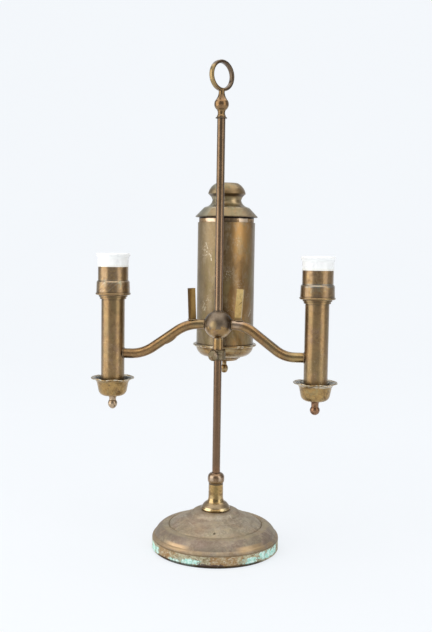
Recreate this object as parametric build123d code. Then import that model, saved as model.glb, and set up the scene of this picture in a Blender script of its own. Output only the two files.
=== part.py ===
from build123d import *
import os

# Argand lamp: a two-burner student lamp whose carriage slides on a rod, later fitted with
# electric lampholders. Millimetres, +Z up. The origin is the middle of the foot's underside,
# on the axis of the rod. The arms lie along X and the oil cistern is behind the rod, at +Y.

# Fits
RUNNING_GAP = 0.05
SEAT_GAP = 0.2

# Rod and foot
ROD_RADIUS = 5.0
ROD_WALL = 1.2
ROD_FOOT = 4.0
ROD_TOP = 536.5
FOOT_RADIUS = 79.4
FOOT_RIM = 14.0
FOOT_TOP = 48.4
FOOT_WALL = 1.2
FELT_THICKNESS = 1.5
PLATE_THICKNESS = 1.5
WEIGHT_TOP = 34.0
NUT_RECESS_TOP = 12.0
NUT_RECESS_RADIUS = 13.0
NUT_FLATS = 17.0
SOCKET_TOP = 82.6
CAP_TOP = 95.2

# Knob and finger ring on top of the rod
KNOB_FLANGE = 534.0
KNOB_NECK_RADIUS = 3.7
RING_RADIUS = 18.8
RING_BAND = 4.0
RING_WIDTH = 6.5
RING_CENTRE = 585.4
RING_TURN = 51.5

# Clamp collar and thumb screw
COLLAR_RADIUS = 9.6
COLLAR_BOTTOM = 238.8
COLLAR_TOP = 250.6
SCREW_HEIGHT = 244.4
SCREW_TURN = -105.0
SCREW_RADIUS = 2.0
SCREW_HEAD_RADIUS = 6.4
SCREW_HEAD_INNER = 11.4
SCREW_HEAD_OUTER = 16.4
KNURL_COUNT = 28

# Hub, arms and the strips that stand on the arms
HUB_HEIGHT = 282.0
BALL_RADIUS = 17.8
BALL_WALL = 1.8
SLEEVE_RADIUS = 6.45
SLEEVE_TOP = 299.4
ARM_RADIUS = 6.2
ARM_BORE = 5.2
ARM_START = 15.2
STRIP_WIDTH = 8.0
STRIP_THICKNESS = 5.4
STRIP_TOP = 326.6

# The two sides, which differ a little: reach is the distance from the rod to the burner, knee and
# foot are the corners of the sloping arm, drop is how far it descends, bend is the radius of its
# two bends, and sink is how much further down its burner reaches
SIDES = {
    "left": {
        "sign": -1, "reach": 134.5, "knee": 39.1, "foot": 95.4, "drop": 39.5, "bend": 50.0, "sink": 3.1,
        "strip": 32.5, "strip_turn": 42.5, "strip_splay": 2.4,
    },
    "right": {
        "sign": 1, "reach": 121.5, "knee": 32.8, "foot": 82.5, "drop": 38.0, "bend": 38.0, "sink": 0.0,
        "strip": 24.0, "strip_turn": -6.5, "strip_splay": 4.0,
    },
}

# Oil cistern, behind the rod
CISTERN_BACK = 60.0
CISTERN_RADIUS = 37.05
CISTERN_BORE = 36.25
CISTERN_BOTTOM = 250.8
CISTERN_TOP = 409.3
BOWL_BOTTOM = 235.5
BOWL_WALL = 0.9
LINK_RADIUS = 7.0
LINK_BORE = 5.5
BUSH_HEIGHT = 264.0
BUSH_RADIUS = 4.9
BUSH_BORE = 3.6
REST_HEIGHT = 297.0
FINIAL_STUD = 2.0

# Fount, its lid and valve
FOUNT_RADIUS = 35.5
FOUNT_WALL = 0.7
FOUNT_BOTTOM = REST_HEIGHT + SEAT_GAP
FOUNT_TOP = 420.75
NECK_RADIUS = 9.0
NECK_BORE = 6.2
NECK_BOTTOM = 279.0
VALVE_SEAT = 286.0
VALVE_PORT = 3.6
VALVE_RADIUS = 5.6
LID_WALL = 0.9

# Burner columns
TUBE_RADIUS = 14.7
TUBE_BORE = 13.7
TUBE_BOTTOM = 194.4
TUBE_TOP = 317.0
CUP_BOTTOM = 191.2
CUP_WALL = 0.9
PLUG_TOP = 199.2

# Lampholders, for a lamp with a 27 mm screw cap
GALLERY_TOP = 319.0
WIRE_ENTRY_RADIUS = 6.0
CAP_RADIUS = 21.1
SHELL_RADIUS = 19.0
SHELL_WALL = 0.6
SHELL_TOP = 351.4
CORE_RADIUS = 18.2
CORE_BOTTOM = 325.2
CORE_FLOOR = 333.0
CORE_LEDGE = 337.0
CORE_TOP = 348.2
CONTACT_WELL = 12.6
SCREW_SHELL_RADIUS = 14.0
SCREW_SHELL_BORE = 13.4
PORCELAIN_BORE = 14.4
PORCELAIN_RIM = 21.0
PORCELAIN_TOP = 368.5
TERMINAL_OFFSET = 4.2
TERMINAL_RADIUS = 1.2
TERMINAL_HEAD = 2.4

# Wires inside the arms, hub and cistern
WIRE_RADIUS = 1.1
WIRE_PITCH = 1.5
WIRE_END = 92.0


# Helpers

def all_edges(lines):
    return [edge for line in lines for edge in line.edges()]


def turned(*lines):
    """Turned solid: a closed outline of radius and height, revolved about the z axis."""
    return revolve(Plane.XZ * Face(Wire(all_edges(lines))), Axis.Z)


def lathe(*points):
    """Turned solid whose outline has straight sides only."""
    return turned(Polyline(*points, close=True))


def spun(*lines, wall):
    """Spun sheet: an open outline, bottom to top, thickened inwards and revolved."""
    band = Wire(all_edges(lines)).offset_2d(wall, side=Side.LEFT)
    return revolve(Plane.XZ * Face(band), Axis.Z)


def ring(outer, inner, bottom, top):
    return lathe((inner, bottom), (outer, bottom), (outer, top), (inner, top))


def rod_of(radius, bottom, top):
    return lathe((0, bottom), (radius, bottom), (radius, top), (0, top))


def along_y(solid):
    """Lay a solid that was turned about z along +Y."""
    return Rot(-90, 0, 0) * solid


def tube_along(path, outer, inner=0):
    section = Circle(outer)
    if inner:
        section -= Circle(inner)
    return sweep(Plane(path @ 0, z_dir=path % 0) * section, path=path)


# Stand

def base_shell():
    """Spun foot: upright rim, bulging shoulder, turned groove and a low dome under the stem."""
    return spun(
        Line((FOOT_RADIUS, FELT_THICKNESS), (FOOT_RADIUS, FOOT_RIM)),
        ThreePointArc((FOOT_RADIUS, FOOT_RIM), (78.4, 17.25), (75.8, 19.4)),
        ThreePointArc((75.8, 19.4), (70.9, 26.6), (59.1, 30.2)),
        Line((59.1, 30.2), (58.4, 29.2)),
        Line((58.4, 29.2), (57.5, 30.6)),
        ThreePointArc((57.5, 30.6), (45.0, 37.6), (31.6, 42.8)),
        ThreePointArc((31.6, 42.8), (28.6, 46.4), (21.6, FOOT_TOP)),
        Line((21.6, FOOT_TOP), (ROD_RADIUS + FOOT_WALL, FOOT_TOP)),
        wall=FOOT_WALL,
    )


def base_weight():
    """Cast disc, coned to follow the shell, with a recess for the rod's nut."""
    bottom = FELT_THICKNESS + PLATE_THICKNESS
    return lathe(
        (NUT_RECESS_RADIUS, bottom), (74.0, bottom), (74.0, 14.0), (54.0, 25.0), (26.0, WEIGHT_TOP),
        (ROD_RADIUS, WEIGHT_TOP), (ROD_RADIUS, NUT_RECESS_TOP), (NUT_RECESS_RADIUS, NUT_RECESS_TOP),
    )


def base_plate():
    return rod_of(FOOT_RADIUS - FOOT_WALL, FELT_THICKNESS, FELT_THICKNESS + PLATE_THICKNESS)


def base_felt():
    return rod_of(FOOT_RADIUS - 2.0, 0, FELT_THICKNESS)


def rod_washer():
    return ring(11.0, ROD_RADIUS, NUT_RECESS_TOP - 1.2, NUT_RECESS_TOP)


def rod_nut():
    top = NUT_RECESS_TOP - 1.2
    hexagon = extrude(RegularPolygon(NUT_FLATS / 2, 6, major_radius=False), 5.0)
    return Pos(0, 0, top - 5.0) * hexagon - rod_of(ROD_RADIUS, 0, top)


def stem_socket():
    """Beaded foot, low dome, concave flare and plain column around the rod."""
    return turned(
        Line((ROD_RADIUS, FOOT_TOP), (17.4, FOOT_TOP)),
        ThreePointArc((17.4, FOOT_TOP), (18.5, 50.3), (17.4, 52.2)),
        ThreePointArc((17.4, 52.2), (14.8, 56.0), (11.2, 58.8)),
        ThreePointArc((11.2, 58.8), (9.8, 61.4), (9.3, 65.0)),
        Polyline((9.3, 65.0), (9.1, SOCKET_TOP), (ROD_RADIUS, SOCKET_TOP), (ROD_RADIUS, FOOT_TOP)),
    )


def stem_cap():
    """Rounded cap over the socket, a little wider than it."""
    return turned(
        Line((ROD_RADIUS, SOCKET_TOP), (9.4, SOCKET_TOP)),
        ThreePointArc((9.4, SOCKET_TOP), (10.3, 85.4), (10.4, 88.6)),
        ThreePointArc((10.4, 88.6), (9.4, 92.6), (6.4, CAP_TOP)),
        Polyline((6.4, CAP_TOP), (ROD_RADIUS, CAP_TOP), (ROD_RADIUS, SOCKET_TOP)),
    )


def rod():
    return ring(ROD_RADIUS, ROD_RADIUS - ROD_WALL, ROD_FOOT, ROD_TOP)


def finger_ring():
    """Ring of rounded oblong section, turned out of the arms' plane."""
    middle = RING_RADIUS - RING_BAND / 2
    section = Pos(middle, 0) * RectangleRounded(RING_BAND, RING_WIDTH, 1.7)
    band = revolve(Plane.XZ * section, Axis.Z)
    return Pos(0, 0, RING_CENTRE) * Rot(0, 0, RING_TURN) * Rot(90, 0, 0) * band


def top_knob():
    """Pear-shaped knob over a thin sharp flange, bored for the rod and seated to the ring."""
    pear = turned(
        Polyline((ROD_RADIUS, KNOB_FLANGE), (6.9, KNOB_FLANGE), (7.2, 534.6), (6.9, 535.2), (5.7, 535.4),
                 (5.5, 536.9)),
        ThreePointArc((5.5, 536.9), (4.5, 541.0), (5.5, 544.3)),
        ThreePointArc((5.5, 544.3), (8.9, 550.6), (7.7, 555.6)),
        ThreePointArc((7.7, 555.6), (5.0, 560.0), (KNOB_NECK_RADIUS, 565.0)),
        Polyline((KNOB_NECK_RADIUS, 565.0), (KNOB_NECK_RADIUS, 569.0), (0, 569.0), (0, ROD_TOP)),
        Polyline((0, ROD_TOP), (ROD_RADIUS, ROD_TOP), (ROD_RADIUS, KNOB_FLANGE)),
    )
    return pear - finger_ring()


# Clamp

def radial(solid):
    """Turn a solid that lies along +Z to the thumb screw's direction, at its height."""
    return Pos(0, 0, SCREW_HEIGHT) * Rot(0, 0, SCREW_TURN) * Rot(0, 90, 0) * solid


def clamp_collar():
    """Collar under the hub, with a tapped hole for the thumb screw."""
    edge = 0.8
    blank = lathe(
        (ROD_RADIUS + RUNNING_GAP, COLLAR_BOTTOM), (COLLAR_RADIUS - edge, COLLAR_BOTTOM),
        (COLLAR_RADIUS, COLLAR_BOTTOM + edge), (COLLAR_RADIUS, COLLAR_TOP - edge),
        (COLLAR_RADIUS - edge, COLLAR_TOP), (ROD_RADIUS + RUNNING_GAP, COLLAR_TOP),
    )
    return blank - radial(rod_of(SCREW_RADIUS + RUNNING_GAP, 0, SCREW_HEAD_OUTER))


def thumb_screw():
    """Screw with a round knurled head: a ring of V grooves cut along its edge."""
    tip = ROD_RADIUS + SEAT_GAP
    blank = lathe(
        (0, tip), (SCREW_RADIUS, tip), (SCREW_RADIUS, 10.4), (3.4, 10.4), (3.4, SCREW_HEAD_INNER),
        (SCREW_HEAD_RADIUS - 0.5, SCREW_HEAD_INNER), (SCREW_HEAD_RADIUS, SCREW_HEAD_INNER + 0.5),
        (SCREW_HEAD_RADIUS, SCREW_HEAD_OUTER - 0.8), (SCREW_HEAD_RADIUS - 0.8, SCREW_HEAD_OUTER),
        (0, SCREW_HEAD_OUTER),
    )
    depth = 0.55
    groove = Polyline((SCREW_HEAD_RADIUS - depth, 0), (SCREW_HEAD_RADIUS + 0.3, 0.6),
                      (SCREW_HEAD_RADIUS + 0.3, -0.6), close=True)
    cutter = Pos(0, 0, SCREW_HEAD_INNER - 1) * extrude(make_face(groove), 7.0)
    for cutter_turn in range(KNURL_COUNT):
        blank -= Rot(0, 0, cutter_turn * 360 / KNURL_COUNT) * cutter
    return radial(blank)


# Carriage

def arm_path(side):
    """Centre line of one arm: out of the hub, down a slope, then level to its burner."""
    low = HUB_HEIGHT - side["drop"]
    end = side["reach"] - TUBE_BORE
    corners = [(ARM_START, HUB_HEIGHT), (side["knee"], HUB_HEIGHT), (side["foot"], low), (end, low)]
    return FilletPolyline(*[(side["sign"] * x, 0, z) for x, z in corners], radius=side["bend"])


def arm(side):
    return tube_along(arm_path(side), ARM_RADIUS, ARM_BORE)


def strip(side):
    """Upright strip that stands on an arm and leans a little outwards."""
    height = STRIP_TOP - HUB_HEIGHT
    bar = Box(STRIP_WIDTH, STRIP_THICKNESS, height, align=(Align.CENTER, Align.CENTER, Align.MIN))
    bar = Rot(0, side["sign"] * side["strip_splay"], 0) * Rot(0, 0, side["strip_turn"]) * bar
    bar = Pos(side["sign"] * side["strip"], 0, HUB_HEIGHT) * bar
    return bar - tube_along(arm_path(side), ARM_RADIUS)


def hub_sleeve():
    return ring(SLEEVE_RADIUS, ROD_RADIUS + RUNNING_GAP, COLLAR_TOP + SEAT_GAP, SLEEVE_TOP)


def hub_ball():
    """Hollow ball around the sleeve, holed for the arms and for the pipe to the cistern."""
    ball = Sphere(BALL_RADIUS) - Sphere(BALL_RADIUS - BALL_WALL)
    ball -= rod_of(SLEEVE_RADIUS, -BALL_RADIUS, BALL_RADIUS)
    ball -= Rot(0, 90, 0) * rod_of(ARM_RADIUS, -BALL_RADIUS, BALL_RADIUS)
    ball -= along_y(rod_of(LINK_RADIUS, 0, BALL_RADIUS))
    return Pos(0, 0, HUB_HEIGHT) * ball


def at_cistern(solid):
    return Pos(0, CISTERN_BACK, 0) * solid


def link_position(solid):
    return Pos(0, 0, HUB_HEIGHT) * along_y(solid)


def tank_link():
    """Short pipe from the hub into the cistern, with a saddle flange against its wall."""
    wall_front = CISTERN_BACK - CISTERN_RADIUS
    pipe = ring(LINK_RADIUS, LINK_BORE, ARM_START, wall_front + 2.0)
    flange = link_position(ring(10.5, LINK_BORE, wall_front - 2.2, wall_front + 1.6))
    flange -= at_cistern(rod_of(CISTERN_RADIUS, CISTERN_BOTTOM, CISTERN_TOP))
    return link_position(pipe) + flange


def cistern():
    """Open cylinder with a hole in front for the link and one behind for the cable bush."""
    wall = at_cistern(ring(CISTERN_RADIUS, CISTERN_BORE, CISTERN_BOTTOM, CISTERN_TOP))
    wall -= link_position(rod_of(LINK_RADIUS, 0, CISTERN_BACK))
    return wall - Pos(0, 0, BUSH_HEIGHT) * along_y(rod_of(BUSH_RADIUS, CISTERN_BACK, 2 * CISTERN_BACK))


def cistern_bowl():
    """Shallow bowl that closes the cistern, with a rolled lip around the joint."""
    lip_bottom = CISTERN_BOTTOM - 1.4
    lip_top = CISTERN_BOTTOM + 1.6
    floor = BOWL_BOTTOM + BOWL_WALL
    return at_cistern(turned(
        Line((CISTERN_RADIUS, lip_top), (39.8, lip_top)),
        ThreePointArc((39.8, lip_top), (41.3, CISTERN_BOTTOM), (39.8, lip_bottom)),
        Line((39.8, lip_bottom), (37.3, lip_bottom)),
        ThreePointArc((37.3, lip_bottom), (34.6, 241.6), (28.0, 236.6)),
        Polyline((28.0, 236.6), (24.0, BOWL_BOTTOM), (FINIAL_STUD, BOWL_BOTTOM), (FINIAL_STUD, floor)),
        Polyline((FINIAL_STUD, floor), (24.0, floor), (27.4, 237.4)),
        ThreePointArc((27.4, 237.4), (33.8, 242.2), (CISTERN_BORE, lip_bottom)),
        Polyline((CISTERN_BORE, lip_bottom), (CISTERN_BORE, CISTERN_BOTTOM),
                 (CISTERN_RADIUS, CISTERN_BOTTOM), (CISTERN_RADIUS, lip_top)),
    ))


def cistern_disc():
    return at_cistern(lathe(
        (FINIAL_STUD, BOWL_BOTTOM), (20.4, BOWL_BOTTOM), (20.4, 233.6), (18.4, 232.8),
        (16.8, 230.8), (FINIAL_STUD, 230.8),
    ))


def cistern_finial():
    """Small drop on a collared neck, held by a stud through the disc and bowl."""
    neck = 2.9
    tip = 213.4
    return at_cistern(turned(
        Polyline((0, BOWL_BOTTOM + BOWL_WALL), (FINIAL_STUD, BOWL_BOTTOM + BOWL_WALL),
                 (FINIAL_STUD, 230.8), (4.4, 230.8), (4.4, 229.4), (neck, 228.0), (neck, 224.4)),
        ThreePointArc((neck, 224.4), (4.9, 219.6), (3.6, 215.2)),
        ThreePointArc((3.6, 215.2), (2.8, 214.1), (1.6, 213.6)),
        Polyline((1.6, 213.6), (0, tip), (0, BOWL_BOTTOM + BOWL_WALL)),
    ))


def fount_rest():
    """Angle ring inside the cistern on which the fount stands."""
    return at_cistern(lathe(
        (CISTERN_BORE - 0.8, REST_HEIGHT - 7.0), (CISTERN_BORE, REST_HEIGHT - 7.0),
        (CISTERN_BORE, REST_HEIGHT), (30.0, REST_HEIGHT), (30.0, REST_HEIGHT - 1.0),
        (CISTERN_BORE - 0.8, REST_HEIGHT - 1.0),
    ))


def cable_bush():
    """Flanged bush through the cistern's back wall."""
    inner_face = CISTERN_BACK + 35.0
    wall_back = CISTERN_BACK + CISTERN_RADIUS
    bush = lathe(
        (BUSH_BORE, inner_face), (BUSH_RADIUS, inner_face), (BUSH_RADIUS, wall_back),
        (7.5, wall_back), (7.5, wall_back + 2.0), (5.6, wall_back + 3.4), (BUSH_BORE, wall_back + 3.4),
    )
    return Pos(0, 0, BUSH_HEIGHT) * along_y(bush)


# Burner columns

def burner_tube(side):
    """Tube of one burner, holed on the hub's side where its arm enters."""
    arm_entry = Pos(0, 0, HUB_HEIGHT - side["drop"]) * Rot(0, -90 * side["sign"], 0)
    tube = ring(TUBE_RADIUS, TUBE_BORE, TUBE_BOTTOM - side["sink"], TUBE_TOP)
    return tube - arm_entry * rod_of(ARM_RADIUS, 0, 20.0)


def drip_cup(side):
    """Spun cup under the tube, with a thin flared rim."""
    return spun(
        Line((FINIAL_STUD, CUP_BOTTOM), (10.0, CUP_BOTTOM)),
        ThreePointArc((10.0, CUP_BOTTOM), (15.2, 193.2), (17.9, 197.8)),
        Line((17.9, 197.8), (19.8, 207.6)),
        ThreePointArc((19.8, 207.6), (22.0, 211.2), (27.6, 214.6)),
        wall=CUP_WALL,
    )


def tube_plug(side):
    """Stepped plug in the tube's end, tapped for the finial's stud."""
    foot = CUP_BOTTOM + CUP_WALL
    return lathe(
        (FINIAL_STUD, foot), (9.4, foot), (9.4, TUBE_BOTTOM), (TUBE_BORE, TUBE_BOTTOM),
        (TUBE_BORE, PLUG_TOP), (FINIAL_STUD, PLUG_TOP),
    )


def pear_finial():
    return turned(
        Polyline((0, PLUG_TOP - 1), (FINIAL_STUD, PLUG_TOP - 1), (FINIAL_STUD, CUP_BOTTOM), (6.2, CUP_BOTTOM)),
        ThreePointArc((6.2, CUP_BOTTOM), (4.7, 188.6), (4.4, 185.2)),
        ThreePointArc((4.4, 185.2), (5.9, 181.0), (4.6, 176.8)),
        Polyline((4.6, 176.8), (2.4, 174.6), (0, 174.0), (0, PLUG_TOP - 1)),
    )


def ball_finial():
    ball = 6.1
    ball_centre = 179.6
    neck = 4.6
    neck_start = CUP_BOTTOM - 4.6
    neck_end = ball_centre + (ball ** 2 - neck ** 2) ** 0.5
    return turned(
        Polyline((0, PLUG_TOP - 1), (FINIAL_STUD, PLUG_TOP - 1), (FINIAL_STUD, CUP_BOTTOM), (7.2, CUP_BOTTOM)),
        ThreePointArc((7.2, CUP_BOTTOM), (5.2, CUP_BOTTOM - 2), (neck, neck_start)),
        Line((neck, neck_start), (neck, neck_end)),
        ThreePointArc((neck, neck_end), (ball, ball_centre), (0, ball_centre - ball)),
        Line((0, ball_centre - ball), (0, PLUG_TOP - 1)),
    )


def drip_finial(side):
    """The two finials are odd ones: a pear on the left, a ball on the right."""
    if side["sign"] < 0:
        return pear_finial()
    return ball_finial()


def gallery(side):
    """Stepped ring with a bead, soldered on top of the tube."""
    bead_bottom = 316.0
    return turned(
        Polyline((TUBE_RADIUS, 311.0), (16.6, 311.0), (16.6, 313.4), (18.0, 313.8), (18.0, bead_bottom),
                 (20.8, bead_bottom)),
        ThreePointArc((20.8, bead_bottom), (22.1, 317.5), (20.8, GALLERY_TOP)),
        Polyline((20.8, GALLERY_TOP), (WIRE_ENTRY_RADIUS, GALLERY_TOP), (WIRE_ENTRY_RADIUS, TUBE_TOP),
                 (TUBE_RADIUS, TUBE_TOP), (TUBE_RADIUS, 311.0)),
    )


def holder_cap(side):
    """Lower cap of the lampholder, with a chamfered top edge."""
    floor = GALLERY_TOP + 2.0
    return lathe(
        (WIRE_ENTRY_RADIUS, GALLERY_TOP), (CAP_RADIUS, GALLERY_TOP), (20.7, 332.4), (19.6, 334.0),
        (SHELL_RADIUS, 334.0), (SHELL_RADIUS, floor), (WIRE_ENTRY_RADIUS, floor),
    )


def holder_shell(side):
    return ring(SHELL_RADIUS, SHELL_RADIUS - SHELL_WALL, GALLERY_TOP + 2.0, SHELL_TOP)


def porcelain_ring(side):
    """White collar on the shell: plain below, flared to a rounded rim above."""
    flare = PORCELAIN_TOP - 8.5
    rim = PORCELAIN_TOP - 3.4
    lead_in = PORCELAIN_TOP - 2.0
    return turned(
        Polyline((PORCELAIN_BORE, CORE_TOP), (CORE_RADIUS, CORE_TOP), (CORE_RADIUS, SHELL_TOP),
                 (19.4, SHELL_TOP), (19.4, flare)),
        ThreePointArc((19.4, flare), (19.8, PORCELAIN_TOP - 5.6), (PORCELAIN_RIM, rim)),
        ThreePointArc((PORCELAIN_RIM, rim), (21.1, PORCELAIN_TOP - 1.2), (19.4, PORCELAIN_TOP)),
        Line((19.4, PORCELAIN_TOP), (16.4, PORCELAIN_TOP)),
        ThreePointArc((16.4, PORCELAIN_TOP), (15.0, PORCELAIN_TOP - 0.6), (PORCELAIN_BORE, lead_in)),
        Line((PORCELAIN_BORE, lead_in), (PORCELAIN_BORE, CORE_TOP)),
    )


def terminals(radius, bottom, top):
    """The two terminal places under a lampholder's core."""
    post = rod_of(radius, bottom, top)
    return Pos(-TERMINAL_OFFSET, 0, 0) * post + Pos(TERMINAL_OFFSET, 0, 0) * post


def porcelain_core(side):
    """Porcelain cup with a ledge for the screw shell and a well below it for the contact."""
    cup = lathe(
        (0, CORE_BOTTOM), (CORE_RADIUS, CORE_BOTTOM), (CORE_RADIUS, CORE_TOP),
        (SCREW_SHELL_RADIUS, CORE_TOP), (SCREW_SHELL_RADIUS, CORE_LEDGE), (CONTACT_WELL, CORE_LEDGE),
        (CONTACT_WELL, CORE_FLOOR), (0, CORE_FLOOR),
    )
    return cup - terminals(TERMINAL_RADIUS, CORE_BOTTOM, CORE_BOTTOM + 4.0)


def screw_shell(side):
    return ring(SCREW_SHELL_RADIUS, SCREW_SHELL_BORE, CORE_LEDGE, CORE_TOP)


def centre_contact(side):
    """Sprung tongue on the floor of the core, bent up to meet the lamp's tip."""
    thickness = 0.5
    width = 5.0
    tongue = Line((-9.0, CORE_FLOOR), (-3.5, CORE_FLOOR)).edges()
    tongue += ThreePointArc((-3.5, CORE_FLOOR), (0.5, CORE_FLOOR + 1.4), (5.0, CORE_FLOOR + 2.6)).edges()
    section = Face(Wire(tongue).offset_2d(thickness, side=Side.LEFT))
    return Pos(0, width / 2, 0) * extrude(Plane.XZ * section, width, dir=(0, -1, 0))


def terminal_screw_pair():
    head = terminals(TERMINAL_HEAD, CORE_BOTTOM - 1.4, CORE_BOTTOM)
    return head + terminals(TERMINAL_RADIUS, CORE_BOTTOM - 1.4, CORE_BOTTOM + 4.0)


# Wires

def wire(side, lane):
    """One wire from a terminal down the burner, through the arm and hub into the cistern.

    The upper wire of a pair has lane 1 and the lower one lane -1. They keep the same distance
    all the way, so they never cross.
    """
    sign = side["sign"]
    shift = lane * WIRE_PITCH
    low = HUB_HEIGHT - side["drop"] + shift
    level = HUB_HEIGHT + shift
    column = sign * (side["reach"] - 2 * shift)
    line = sign * WIRE_PITCH
    drop = CISTERN_BACK - 25.0 + shift
    route = [
        (column, 0, CORE_BOTTOM - 1.4),
        (column, 0, low),
        (sign * side["foot"], 0, low),
        (sign * side["knee"], 0, level),
        (sign * 11.0, 0, level),
        (sign * 8.0, 9.0, level),
        (line, 15.6, level),
        (line, drop, level),
        (line, drop, BUSH_HEIGHT + shift),
        (line, WIRE_END, BUSH_HEIGHT + shift),
    ]
    bends = [6, side["bend"], side["bend"], 3, 3, 3, 4, 4]
    return tube_along(FilletPolyline(*route, radius=bends), WIRE_RADIUS)


def wires(side):
    return wire(side, 1) + wire(side, -1)


# Fount

def fount_can():
    """Tin of the lift-out fount, open at the top, with a hole for its neck."""
    bottom = FOUNT_BOTTOM
    bore = FOUNT_RADIUS - FOUNT_WALL
    return at_cistern(lathe(
        (NECK_RADIUS, bottom), (FOUNT_RADIUS, bottom), (FOUNT_RADIUS, FOUNT_TOP), (bore, FOUNT_TOP),
        (bore, bottom + FOUNT_WALL), (NECK_RADIUS, bottom + FOUNT_WALL),
    ))


def fount_neck():
    """Outlet of the fount, flanged inside it and bored to a valve seat."""
    flange = FOUNT_BOTTOM + FOUNT_WALL
    return at_cistern(lathe(
        (VALVE_PORT, NECK_BOTTOM), (NECK_RADIUS, NECK_BOTTOM), (NECK_RADIUS, flange),
        (12.0, flange), (12.0, flange + 1.2), (NECK_BORE, flange + 1.2),
        (NECK_BORE, VALVE_SEAT), (VALVE_PORT, VALVE_SEAT),
    ))


def fount_valve():
    """Disc valve on a stem that reaches down through the port."""
    return at_cistern(lathe(
        (0, 272.0), (1.2, 272.0), (1.2, VALVE_SEAT + SEAT_GAP), (VALVE_RADIUS, VALVE_SEAT + SEAT_GAP),
        (VALVE_RADIUS, VALVE_SEAT + 1.8), (1.2, VALVE_SEAT + 2.6), (1.2, VALVE_SEAT + 14.0),
        (0, VALVE_SEAT + 14.0),
    ))


def fount_lid():
    """Bell-shaped lid, spun in one piece: flared skirt, shoulder, waist and edged head."""
    return at_cistern(spun(
        ThreePointArc((40.5, 416.9), (35.6, 422.0), (31.1, 426.8)),
        ThreePointArc((31.1, 426.8), (29.0, 428.6), (26.4, 429.6)),
        ThreePointArc((26.4, 429.6), (20.7, 433.4), (18.6, 438.4)),
        ThreePointArc((18.6, 438.4), (20.4, 442.4), (24.3, 446.3)),
        ThreePointArc((24.3, 446.3), (21.9, 452.9), (13.6, 460.2)),
        Line((13.6, 460.2), (0.01, 460.2)),
        wall=LID_WALL,
    ))


# Writing

def save(name, solid):
    solid.label = name
    export_step(solid, os.path.join("parts", name + ".step"))


def build():
    os.makedirs("parts", exist_ok=True)
    single_pieces = [
        base_shell, base_weight, base_plate, base_felt, rod_washer, rod_nut, stem_socket, stem_cap,
        rod, finger_ring, top_knob, clamp_collar, thumb_screw, hub_sleeve, hub_ball, tank_link,
        cistern, cistern_bowl, cistern_disc, cistern_finial, fount_rest, cable_bush,
        fount_can, fount_neck, fount_valve, fount_lid,
    ]
    for piece in single_pieces:
        save(piece.__name__, piece())
    burner_pieces = [
        burner_tube, gallery, holder_cap, holder_shell, porcelain_ring, porcelain_core, screw_shell,
        centre_contact,
    ]
    drip_pieces = [drip_cup, tube_plug, drip_finial]
    screws = Part()
    for name, side in SIDES.items():
        column = Pos(side["sign"] * side["reach"], 0, 0)
        for piece in burner_pieces:
            save(name + "_" + piece.__name__, column * piece(side))
        for piece in drip_pieces:
            save(name + "_" + piece.__name__, column * Pos(0, 0, -side["sink"]) * piece(side))
        for piece in (arm, strip, wires):
            save(name + "_" + piece.__name__, piece(side))
        screws += column * terminal_screw_pair()
    save("terminal_screws", screws)


build()
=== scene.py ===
"""Dresses the argand lamp: aged brass, copper, porcelain and felt over its fixed frame, with the
threads, worn cups and solder that are too fine for the frame, on a pale studio floor."""

import math

import bpy
from mathutils import Matrix, Vector


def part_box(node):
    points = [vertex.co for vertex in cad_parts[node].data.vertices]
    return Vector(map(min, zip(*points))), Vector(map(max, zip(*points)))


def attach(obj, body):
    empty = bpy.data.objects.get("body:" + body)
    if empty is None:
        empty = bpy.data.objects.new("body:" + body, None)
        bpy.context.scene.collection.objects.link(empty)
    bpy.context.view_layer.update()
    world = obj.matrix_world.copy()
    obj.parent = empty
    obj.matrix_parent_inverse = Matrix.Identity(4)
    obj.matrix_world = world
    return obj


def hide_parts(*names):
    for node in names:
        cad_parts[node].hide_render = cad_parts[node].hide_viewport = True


bl_info = {
    "name": "Argand Lamp",
    "version": (1, 0, 0),
    "blender": (4, 5, 0),
    "location": "View3D > Sidebar > Argand Lamp",
    "description": "Aged two-burner argand lamp on a sliding carriage, dressed piece by piece",
    "category": "Object",
}

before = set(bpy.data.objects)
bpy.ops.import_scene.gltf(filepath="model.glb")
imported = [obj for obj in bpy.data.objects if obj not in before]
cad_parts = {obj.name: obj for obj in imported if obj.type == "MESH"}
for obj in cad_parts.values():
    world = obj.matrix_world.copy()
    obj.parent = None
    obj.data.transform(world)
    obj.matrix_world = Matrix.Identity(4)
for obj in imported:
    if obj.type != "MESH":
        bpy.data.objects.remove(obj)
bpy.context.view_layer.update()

MM = 0.001
FULL_TURN = 2 * math.pi
CISTERN_AXIS = (0, 60)
CISTERN_RADIUS = 37.05
HOLDER_RADIUS = 20.9
CUP_RADIUS = 27.0
THREAD_WALL = 0.3


def middle_of(node):
    low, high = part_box(node)
    return (low + high) / 2


BURNER_X = {side: middle_of(side + "_burner_tube").x for side in ("left", "right")}


# Settings that a user would change

def colour(name, about, value):
    return bpy.props.FloatVectorProperty(
        name=name, description=about, subtype="COLOR", size=3, min=0, max=1, default=value)


def length(name, about, millimetres):
    return bpy.props.FloatProperty(
        name=name, description=about, unit="LENGTH", precision=5, default=millimetres * MM)


def number(name, about, value):
    return bpy.props.FloatProperty(name=name, description=about, default=value)


def angle(name, about, degrees):
    return bpy.props.FloatProperty(
        name=name, description=about, subtype="ANGLE", default=math.radians(degrees))


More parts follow.
